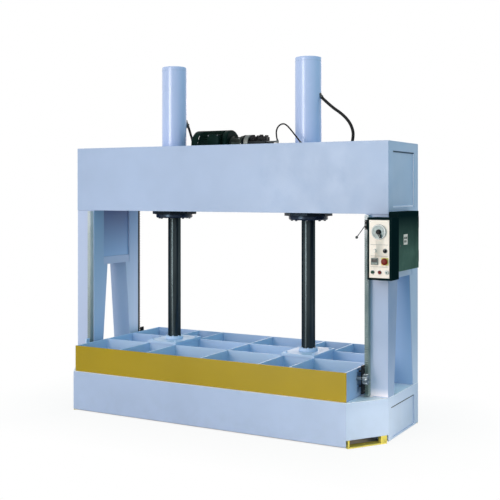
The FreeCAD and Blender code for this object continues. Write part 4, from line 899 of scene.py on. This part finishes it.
def hard_chrome(name):
    """Hard chrome with an oil film: dark in itself, it shows the light as a narrow band."""
    mix = Finish(name, 0.26, metallic=1.0, Anisotropic=0.95, Anisotropic_Rotation=0.25,
                 Specular_Tint=(0.28, 0.32, 0.34, 1))
    film = mix.blotches(0.05, 3, 0.35, 0.70, stretch=(1, 1, 0.12))
    mix.set("Tangent", mix.node("Tangent", direction_type="RADIAL", axis="Z").outputs[0])
    return mix.laid(mix.between(film, shade(60, 69, 72), shade(49, 58, 61)),
                    mix.spread(film, 0, 1, 0.29, 0.33),
                    (mix.blotches(0.0016, 2, 0.3, 0.7, stretch=(0.1, 0.1, 1)), 0.000008))


rod = eased([(0, 535), (34.9, 535), (34.9, 557.3), (54.5, 557.3), (54.5, 1645), (34.9, 1645),
             (34.9, 1755), (0, 1755)], 1.2, 2)
piece("chromed_rods", at_each_cylinder(rod, 128, False), hard_chrome("oiled_hard_chrome"),
      "rod_chrome", "piston_rods", "platen", 30)
collar = eased([(54.8, 557.3), (74, 557.3), (74, 582), (54.8, 582)], 2, 3, True)
piece("clamp_collars", at_each_cylinder(collar, 96), platen_paint, "frame_blue", "rod_collars",
      "platen")


def socket_screw(radius, height):
    """A knurled cap screw with its hexagon socket sunk in the top."""
    shape = turned(eased([(0, 0), (radius, 0), (radius, height), (radius * 0.62, height)], 0.5, 2)
                   + [(radius * 0.58, height)], sides=24)
    turn_into(shape, [(radius * 0.62, height), (radius * 0.5, height * 0.4), (0, height * 0.4)],
              sides=6)
    return shape


set_on("collar_screws", socket_screw(6.5, 6), [
    ((x + 64.5 * c, 64.5 * s, 581.8), UP) for x in CYLINDERS for c, s in around(8, 22.5)],
    platen_paint, "frame_blue", body="platen", seed=13)
dressed("rod_plates", "rod_seat_plates", platen_paint, "frame_blue", 2.0, body="platen")
set_on("seat_plate_screws", hex_screw(19, 12, 15, 2.5), [
    ((x + dx, dy, 556.9), UP) for x in CYLINDERS for dx in (-118, 118) for dy in (-160, 160)],
    platen_paint, "frame_blue", body="platen", seed=15)

piston = eased([(35.1, 1645), (76, 1645), (79.9, 1650), (79.9, 1668), (74, 1668), (74, 1680),
                (79.9, 1680), (79.9, 1720), (74, 1720), (74, 1732), (79.9, 1732), (79.9, 1751),
                (76, 1755), (35.1, 1755)], 1, 2, True)
piece("grooved_pistons", at_each_cylinder(piston, 72),
      bright_steel("turned_piston_steel", shade(128, 134, 138), 0.30, (0.2, 0.2, 1), 0.002),
      "machined_steel", "pistons", "platen")


# ---------------------------------------------------------------- levelling gear
# A shaft runs the length of the plate on either side, in black cast bearings, of which the
# front left one is sprayed blue with the plate. A pinion on each end of a shaft climbs its
# rack, so that both ends of the plate stay level.

# The right front bearing's flange takes the plate ends' painted-shade blue.
bearing_paint = shop_enamel("bearing_enamel", shade(16, 20, 27), [
    ((-1.4, -0.5, 0.3), (-1.0, -0.2, 1.6), PLATE_BLUE),
    ((1.2, -0.5, 0.3), (1.228, -0.2, 1.6), END_BLUE)], gloss=0.34, shine=0.1, chips=0.06)
dressed("bearing_housings", "shaft_bearings", bearing_paint, "black_paint", 2.0, body="platen")
shaft_steel = bright_steel("oiled_shaft_steel", shade(150, 164, 170), 0.40, (1, 1, 1), 0.003)
for side in ("front", "rear"):
    dressed("sync_shaft_" + side, side + "_levelling_shaft", shaft_steel, "machined_steel", 0,
            body=side + "_sync_shaft")
set_on("bearing_screws", hex_screw(15, 7, 10, 1.6), [
    ((side * 1267, y, z), (side, 0, 0)) for side in (-1, 1) for y in (-397, 397)
    for z in (374, 545)], dull_zinc, "zinc_plated", body="platen", seed=17)


# ---------------------------------------------------------------- control box
# A folded steel box in dark green hangs on the right legs, facing the operator. Its front
# frames a cream panel with the gauge, the timer and the switches.

FRONT = (0, -1, 0)
PANEL_FACE = 473


def printed_sheet(name, colour):
    """Screen-printed aluminium in a warm white, satin, with a few finger marks."""
    mix = Finish(name, 0.42, Specular_IOR_Level=0.4)
    marks = mix.blotches(0.04, 5, 0.45, 0.75, 0.0, 0.5)
    return mix.laid(mix.between(marks, colour, toned(colour, (0.90, 0.88, 0.84))),
                    mix.spread(marks, 0, 0.5, 0.36, 0.52), (mix.cloud(0.0014, 2), 0.00003))


box_paint = shop_enamel("black_green_enamel", shade(14, 32, 34), chips=0.06, shine=0.0)
dressed("control_box", "operator_box", box_paint, "box_green", 6.0)
cream = printed_sheet("cream_panel_print", shade(246, 230, 218))
dressed("control_panel", "switch_panel", cream, "panel_cream", 0)
dark_ink = moulded_plastic("panel_ink", shade(70, 66, 62), 0.5)
piece("panel_rules", blocks([((1350, -PANEL_FACE - 0.25, z), (1480, -PANEL_FACE + 0.3, z + 1.6))
                             for z in (1440, 1360, 1283)], 0), dark_ink, "panel_cream")
set_on("panel_screws", socket_screw(3.5, 2), [
    ((x, -PANEL_FACE, z), FRONT) for x in (1348, 1482) for z in (1213, 1608)], zinc,
    "zinc_plated", seed=19)

# The gauge: a pressed case with a snap bezel, and a white dial with black marks.
GAUGE_X, GAUGE_Z = 1414, 1532
GAUGE = (GAUGE_X, 0, GAUGE_Z)
DIAL_FACE = 480.9
bezel_metal = plated_steel("satin_bezel", shade(172, 178, 180), 0.36)
case = turned(eased([(0, 448), (40, 448), (40, 474), (54, 474), (54, 483), (51, 486.4),
                     (47.5, 486.4), (46, 482), (46, 480.5), (0, 480.5)], 1.2, 3), GAUGE, FRONT, 96)
piece("gauge_case", case, bezel_metal, "dial_white", "pressure_gauge")
dial = turned([(0, 480), (45.8, 480), (45.8, DIAL_FACE), (0, DIAL_FACE)], GAUGE, FRONT, 72)
piece("gauge_dial", dial, printed_sheet("gauge_dial_print", shade(168, 180, 180)), "dial_white")


def clockwise(degrees):
    """The aim of a mark on the dial, degrees clockwise from straight up."""
    turn = math.radians(degrees)
    return (math.sin(turn), 0, math.cos(turn))


def on_dial(radius, degrees, out):
    """A place on the dial at that radius, out mm before the machine's middle."""
    x, _, z = clockwise(degrees)
    return (GAUGE_X + radius * x, -out, GAUGE_Z + radius * z)


for name, count, wide, tall, radius in (("gauge_fine_marks", 51, 0.5, 3.0, 41),
                                        ("gauge_marks", 6, 1.3, 6.5, 39)):
    angles = [-135 + 270 * i / (count - 1) for i in range(count)]
    mark = blocks([((-wide / 2, -0.3, -tall / 2), (wide / 2, 0.3, tall / 2))], 0)
    set_on(name, mark, [(on_dial(radius, a, DIAL_FACE), clockwise(a)) for a in angles], dark_ink,
           "dial_white")

figures = bmesh.new()
for i in range(6):
    font = bpy.data.curves.new("gauge_figures", "FONT")
    font.body = str(5 * i)
    font.size = 7.5 * MM
    font.align_x = font.align_y = "CENTER"
    font.extrude = 0.15 * MM
    holder = in_scene("gauge_figures", font)
    made_flat = holder.evaluated_get(bpy.context.evaluated_depsgraph_get())
    mesh = bpy.data.meshes.new_from_object(made_flat)
    at = Vector(on_dial(31.5, -135 + 54 * i, 480.95)) * MM
    mesh.transform(Matrix.Translation(at) @ Matrix.Rotation(math.pi / 2, 4, "X"))
    figures.from_mesh(mesh)
    bpy.data.objects.remove(holder)
bmesh.ops.remove_doubles(figures, verts=figures.verts, dist=1e-6)
piece("gauge_figures", figures, dark_ink, "dial_white")
red = moulded_plastic("red_moulding", shade(122, 26, 18), 0.30)
needle = turned([(0, -14), (2, -14), (0.5, 36), (0, 38)], on_dial(0, 0, 481.6), clockwise(-118), 8)
piece("gauge_needle", needle, red, "red_plastic")

# The setting knob: a fluted skirt, and a raised pointer with a white line, 25 degrees round.
KNOB_FOOT, KNOB_TOP, KNOB_RADIUS, FLUTES = 482.3, 500.2, 19, 14
depth = KNOB_TOP - KNOB_FOOT
knob = turned(eased([(0, KNOB_FOOT), (KNOB_RADIUS, KNOB_FOOT), (KNOB_RADIUS, KNOB_FOOT + 0.25 * depth),
                     (KNOB_RADIUS * 0.88, KNOB_FOOT + 0.35 * depth), (KNOB_RADIUS * 0.84, KNOB_TOP - 1),
                     (KNOB_RADIUS * 0.76, KNOB_TOP), (0, KNOB_TOP)], 0.8, 2), GAUGE, FRONT, FLUTES * 4)
middle = Vector(GAUGE) * MM
for vert in knob.verts:
    out = vert.co - middle
    if -out.y / MM > KNOB_FOOT + 0.3 * depth:
        dip = 1 - 0.05 * (0.5 - 0.5 * math.cos(FLUTES * math.atan2(out.x, out.z)))
        vert.co.x, vert.co.z = middle.x + out.x * dip, middle.z + out.z * dip
piece("setting_knob", knob, black_plastic, "black_plastic", "gauge_knob", "gauge_knob")
white_mark = moulded_plastic("white_moulding", shade(232, 232, 226), 0.34)
pointer = eased([(-9, 6), (9, 6), (7, -44), (0, -49), (-7, -44)], 2.5, 3, True)
line = [(-0.9, -18), (0.9, -18), (0.9, -42), (-0.9, -42)]
for name, outline, low, high, finish, slot in (
        ("setting_pointer", pointer, 487.4, 498.4, black_plastic, "black_plastic"),
        ("setting_knob_line", line, 498.3, 498.7, white_mark, "white_plastic")):
    shape = bmesh.new()
    slab_into(shape, outline, low, high,
              lambda u, v, w: (GAUGE_X + u * 0.906 - v * 0.423, -w, GAUGE_Z + v * 0.906 + u * 0.423))
    piece(name, shape, finish, slot, body="gauge_knob")

# The lamp, the selector, the emergency stop and the three buttons, each in a plated ring.
LAMP, SELECTOR, STOP = (1383, 0, 1398), (1460, 0, 1398), (1458, 0, 1323)
START_X, STOP_X, JOG_X, BUTTON_Z = 1366, 1419, 1472, 1245
rings = bmesh.new()
for (x, _, z), radius in ((LAMP, 14), (SELECTOR, 17.5), *[((x, 0, BUTTON_Z), 15.5)
                                                          for x in (START_X, STOP_X, JOG_X)]):
    turn_into(rings, eased([(radius - 2.6, PANEL_FACE - 1), (radius, PANEL_FACE - 1),
                            (radius, PANEL_FACE + 2), (radius - 1, PANEL_FACE + 4),
                            (radius - 2.6, PANEL_FACE + 4)], 0.6, 2, True),
              (x, 0, z), FRONT, 48, bored=True)
piece("switch_rings", rings, bezel_metal, "zinc_plated")
lens = Finish("clear_lamp_lens", 0.15, Transmission_Weight=0.35, IOR=1.45)
lens.set("Base Color", lens.between(lens.blotches(0.006, 2, 0.3, 0.7), shade(226, 226, 218),
                                    shade(206, 210, 206)))
dome = turned(eased([(0, 471), (11, 471), (11, 477), (9, 482), (4, 484.8), (0, 484.8)], 2, 3), LAMP,
              FRONT, 40)
piece("power_lamp", dome, lens.material, "white_plastic")

selector = turned(eased([(0, 453.3), (12, 453.3), (12, 474), (14.6, 474), (14.6, 481), (13, 482.5),
                         (0, 482.5)], 0.8, 2), SELECTOR, FRONT, 48)
box_into(selector, (1456.2, -489.2, 1384.2), (1463.8, -480, 1411.8), 1.6, 2)
piece("selector_grip", selector, black_plastic, "black_plastic", "selector_knob", "selector_knob")
piece("selector_line", blocks([((1459.4, -489.3, 1401), (1460.6, -488.9, 1410.5))], 0), white_mark,
      "white_plastic", body="selector_knob")

yellow = moulded_plastic("yellow_moulding", shade(236, 214, 120), 0.36)
collar = blocks([((1431, -474, 1296), (1485, -473.3, 1350))], 0.3, 1)
turn_into(collar, eased([(12, 472.5), (27, 472.5), (27, 473.8), (25, 474.6), (12, 474.6)], 0.4, 2, True),
          STOP, FRONT, 64, bored=True)
piece("stop_collar", collar, yellow, "black_plastic")
mushroom = turned(eased([(0, 461), (8, 461), (8, 480), (17, 481), (24, 484), (24, 488), (20, 493),
                         (10, 495), (0, 495)], 2.2, 4), STOP, FRONT, 64)
piece("stop_mushroom", mushroom, red, "red_plastic", "estop_button", "estop_button")
green = moulded_plastic("green_moulding", shade(18, 66, 48), 0.32)
cap = eased([(0, 461), (8, 461), (8, 472), (12, 472), (12, 481.5), (10.5, 483), (7, 482.2), (0, 482)],
            0.9, 3)
for what, x, finish, slot in (("start", START_X, green, "green_plastic"),
                              ("stop", STOP_X, red, "red_plastic"),
                              ("jog", JOG_X, white_mark, "white_plastic")):
    piece(what + "_cap", turned(cap, (x, 0, BUTTON_Z), FRONT, 48), finish, slot, what + "_button",
          what + "_button")
centre = turned([(0, 481), (5.5, 481), (5.5, 483), (4.5, 483.6), (0, 483.6)], (JOG_X, 0, BUTTON_Z),
                FRONT, 32)
piece("jog_centre", centre, green, "green_plastic", body="jog_button")

timer = blocks([((1354, -479, 1298), (1408, -473, 1346))], 2)
box_into(timer, (1355.5, -480.6, 1299.5), (1406.5, -477, 1344.5), 1.2, 2)
piece("timer_case", timer, moulded_plastic("grey_moulding", shade(128, 134, 130), 0.4),
      "black_plastic", "timer")
key_grey = moulded_plastic("key_moulding", shade(176, 180, 176), 0.36)
keys = blocks([((1360.5 + 11.4 * i, -481, 1303), (1368.5 + 11.4 * i, -480, 1311)) for i in range(4)],
              0.3, 1)
piece("timer_keys", keys, key_grey, "black_plastic")
window = blocks([((1360, -481, 1318), (1402, -480.2, 1339))], 0.3, 1)
piece("timer_window", window, moulded_plastic("timer_window_tint", shade(24, 24, 24), 0.14),
      "black_plastic")


# ---------------------------------------------------------------- electrical cabinet
# The switchgear is in a folded cabinet on the end of the legs, behind the operator's box.
# Its door hangs on two pin hinges and is shut by a quarter-turn latch.


def baked_green(name, low_colour, high_colour):
    """Dark green baked enamel, painted paler lower down and darker at the top as a painted sheen."""
    mix = Finish(name, 0.42, Specular_IOR_Level=0.0)
    base = mix.between(mix.spread(mix.axes()[2], 1.36, 1.64), low_colour, high_colour)
    base = mix.between(mix.blotches(0.12, 3, 0.3, 0.7, 0.0, 0.35), base, high_colour)
    rubbed = mix.times(mix.edges(0.004), mix.blotches(0.02, 4, 0.5, 0.66, 0.0, 0.3))
    return mix.laid(mix.between(rubbed, base, shade(96, 112, 106)),
                    mix.blotches(0.05, 4, 0.3, 0.7, 0.36, 0.5),
                    (mix.cloud(0.004, 1), 0.00006), (mix.cloud(0.2, 2), 0.0006))


# The cabinet's green is painted paler low and darker high as a painted sheen.
cabinet_paint = baked_green("baked_green_enamel", shade(94, 112, 100), shade(16, 34, 36))
dressed("electrical_cabinet", "switchgear_cabinet", cabinet_paint, "box_green", 3.0)
dressed("cabinet_door", "cabinet_door_leaf", cabinet_paint, "box_green", 2.5, body="cabinet_door")
LATCH_X, LATCH_Y, LATCH_Z = 1508.9, -183, 1468
plate = blocks([((LATCH_X - 1.6, LATCH_Y - 42, LATCH_Z - 38), (LATCH_X, LATCH_Y + 42, LATCH_Z + 38))],
               0.7)
turn_into(plate, [(0, LATCH_X - 26), (7.9, LATCH_X - 26), (7.9, LATCH_X - 1), (0, LATCH_X - 1)],
          (0, LATCH_Y, LATCH_Z), ALONG, 32)
piece("latch_plate", plate, plated_steel("latch_zinc", shade(176, 184, 180), 0.36), "zinc_plated",
      "door_latch", "door_latch")
grips = blocks([((LATCH_X - 0.4, LATCH_Y + u - 6, LATCH_Z + v - 8),
                 (LATCH_X + 1.4, LATCH_Y + u + 6, LATCH_Z + v + 8))
                for u, v in ((-26, 12), (-10, 12), (10, 12), (26, 12), (-26, -14), (-8, -14),
                             (12, -14))], 0.8)
piece("latch_grips", grips, plated_steel("worn_zinc", shade(84, 96, 94), 0.44), "zinc_plated",
      body="door_latch")
lock = turned(eased([(0, 0), (9, 0), (9, 1.2), (7, 2.2), (4, 2.2), (3.6, 1.2), (0, 1.2)], 0.5, 2),
              (1507, -294, 1426), ALONG, 32)
piece("door_lock", lock, dull_zinc, "zinc_plated", body="cabinet_door")

# Behind the door: a zinc plate with two rails of switchgear, and slotted duct between them.
BACK = 1436
LOW_RAIL, HIGH_RAIL = 1368, 1524
gear_plate = blocks([((BACK - 2.8, -292, 1274), (BACK, 92, 1618))], 0.6, 1)
for z in (LOW_RAIL, HIGH_RAIL):
    box_into(gear_plate, (BACK - 0.2, -280, z - 17.5), (BACK + 7, 80, z + 17.5), 0.8, 1)
piece("switchgear_plate", gear_plate, zinc, "zinc_plated")
duct = bmesh.new()
for z in (1290, 1446, 1602):
    box_into(duct, (BACK, -286, z - 13), (BACK + 38, 86, z + 13), 1.5, 2)
    for y in range(-276, 80, 16):
        box_into(duct, (BACK + 12, y, z - 13.6), (BACK + 34, y + 6, z + 13.6), 0, 1)
piece("wiring_duct", duct, moulded_plastic("duct_grey", shade(150, 156, 154), 0.45), "black_plastic")
gear = bmesh.new()
for y, wide, tall, deep, z in (
        (-268, 45, 74, 40, HIGH_RAIL), (-216, 45, 74, 40, HIGH_RAIL), (-164, 45, 74, 40, HIGH_RAIL),
        (-104, 36, 78, 38, HIGH_RAIL), (-62, 18, 82, 34, HIGH_RAIL), (-40, 18, 82, 34, HIGH_RAIL),
        (-268, 84, 80, 38, LOW_RAIL), (-170, 22, 70, 36, LOW_RAIL), (-144, 22, 70, 36, LOW_RAIL)):
    box_into(gear, (BACK + 6.8, y, z - tall / 2), (BACK + deep * 0.72, y + wide, z + tall / 2), 2, 2)
    box_into(gear, (BACK + deep * 0.7, y + 3, z - tall / 4),
             (BACK + deep + 4, y + wide - 3, z + tall / 4), 1.5, 2)
piece("contactors_and_relays", gear, black_plastic, "black_plastic")
terminals = blocks([((BACK + 6.8, -106 + 10 * i, 1344), (BACK + 34, -97 + 10 * i, 1392))
                    for i in range(16)], 1, 1)
piece("terminal_row", terminals, key_grey, "black_plastic")


# ---------------------------------------------------------------- limit switch
# A limit switch on the inner side of the operator's box stops the plate at the top. Two
# screws hold its cast cover, and its lever is a thin rod that ends in a ball.

switch = blocks([((1301, -463, 1545), (1323, -425, 1615))], 2.5)
box_into(switch, (1302.5, -469, 1548), (1321.5, -464, 1612), 2, 2)
piece("limit_switch_case", switch, black_plastic, "black_plastic", "limit_switch")
set_on("limit_switch_screws", socket_screw(2.6, 1.6), [
    ((1312, -468.8, z), FRONT) for z in (1553, 1607)], zinc, "zinc_plated", seed=21)
dressed("limit_switch_lever", "switch_arm", dull_zinc, "zinc_plated", 0, body="limit_switch_lever")


# ---------------------------------------------------------------- floor, light and camera
# A plain pale floor that runs out to white in the even light of a pale room, a soft sun and
# a softbox from the left, a weaker sun behind, three small fill lights, and a level camera.


def seen_rays(tree):
    """1 where the floor or the room is seen straight, in a mirror or through glass."""
    rays = add_node(tree, "ShaderNodeLightPath").outputs
    seen = rays["Is Camera Ray"]
    for ray in ("Is Glossy Ray", "Is Transmission Ray"):
        feeds = {0: seen, 1: rays[ray]}
        seen = add_node(tree, "ShaderNodeMath", feeds, operation="MAXIMUM").outputs[0]
    return seen


def white_floor(name):
    """A pale floor that keeps the machine's shadow and is pure white a metre away from it."""
    mix = Finish(name, 0.9, Specular_IOR_Level=0.0)
    mix.set("Base Color", mix.between(mix.blotches(1.2, 2, 0.3, 0.7), (0.76, 0.72, 0.66, 1),
                                      (0.80, 0.76, 0.70, 1)))
    white = mix.node("Emission", {"Color": (1, 1, 1, 1), "Strength": 1.0})
    x, y = [mix.reckon("ABSOLUTE", axis) for axis in mix.axes()[:2]]
    cut = mix.reckon("ADD", mix.times(x, 0.8257), mix.times(y, 0.5642))
    clear = 0.0
    for side, half in ((x, 1.39), (y, 0.59), (cut, 1.325)):
        clear = mix.reckon("MAXIMUM", clear, mix.reckon("SUBTRACT", side, half))
    share = mix.times(mix.spread(clear, 0.0, 0.9, 0.90, 1.0), mix.spread(clear, 0.0, 0.01))
    both = mix.node("MixShader", {0: mix.times(share, seen_rays(mix.tree)),
                                  1: mix.shader.outputs[0], 2: white.outputs[0]})
    mix.tree.links.new(both.outputs[0], mix.tree.nodes["Material Output"].inputs["Surface"])
    return mix.material


floor_mesh = bpy.data.meshes.new("studio_floor")
floor_mesh.from_pydata([(-60, -60, 0), (60, -60, 0), (60, 60, 0), (-60, 60, 0)], [], [(0, 1, 2, 3)])
floor_mesh.materials.append(white_floor("pale_floor"))
in_scene("studio_floor", floor_mesh)


def light(name, kind, energy, colour, turn, rise, away=0.0, aim=(0, 0, 1.2), size=None, spread=180,
          hidden=None, angle=0):
    """A light that shines at the aim from a bearing and a height above it, in degrees.

    A sun has its angle, and a panel its size in metres and the angle that it spreads over.
    """
    data = bpy.data.lights.new(name, kind)
    data.energy = energy
    data.color = colour
    if kind == "SUN":
        data.angle = math.radians(angle)
    else:
        data.shape = "RECTANGLE"
        data.size, data.size_y = size
        data.spread = math.radians(spread)
    turn, rise = math.radians(turn), math.radians(rise)
    toward = Vector((math.sin(turn) * math.cos(rise), -math.cos(turn) * math.cos(rise), math.sin(rise)))
    obj = in_scene(name, data)
    obj.location = Vector(aim) + away * toward
    obj.rotation_euler = toward.to_track_quat("Z", "Y").to_euler()
    obj.visible_camera = False
    if hidden:
        setattr(obj, "visible_" + hidden, False)


WARM = (1.0, 0.74, 0.64)
light("key_light", "SUN", 0.33, WARM, -45, 38, angle=28)
light("rear_light", "SUN", 0.6, WARM, -168, 15, angle=40)
light("left_softbox", "AREA", 222, WARM, -14, 8, 7.5, size=(3.0, 4.4))
light("rod_glint", "AREA", 212, (0.86, 0.98, 1.0), -14, 8, 7.0, size=(1.8, 4.4), hidden="diffuse")
light("low_right_light", "AREA", 2.6, (1.0, 0.84, 0.62), 64, 8, 1.2, (1.44, -0.42, 0.15),
      (1.2, 0.25), 64, "glossy")
light("rear_window_light", "AREA", 2.4, (1.0, 0.84, 0.86), 148, -4, 2.3, (-1.25, 0.66, 0.72),
      (0.3, 1.4), 24, "glossy")

world = bpy.data.worlds.new("pale_room")
bpy.context.scene.world = world
world.use_nodes = True
air = world.node_tree
room = air.nodes["Background"]
room.inputs["Color"].default_value = (0.525, 0.888, 1.0, 1)
room.inputs["Strength"].default_value = 0.76
backdrop = add_node(air, "ShaderNodeBackground", {"Color": (1, 1, 1, 1), "Strength": 1.0})
both = add_node(air, "ShaderNodeMixShader", {0: seen_rays(air), 1: room.outputs[0],
                                             2: backdrop.outputs[0]})
air.links.new(both.outputs[0], air.nodes["World Output"].inputs["Surface"])

camera_data = bpy.data.cameras.new("photo_camera")
camera_data.sensor_width = 36
camera_data.lens = 67.27
camera_data.shift_x = 0.0014
camera_data.shift_y = -0.119
camera = in_scene("photo_camera", camera_data)
camera.location = (3.821, -6.714, 1.826)
camera.rotation_euler = (math.radians(90), 0, math.radians(28.997))
bpy.context.scene.camera = camera
bpy.context.scene.view_settings.view_transform = "Standard"
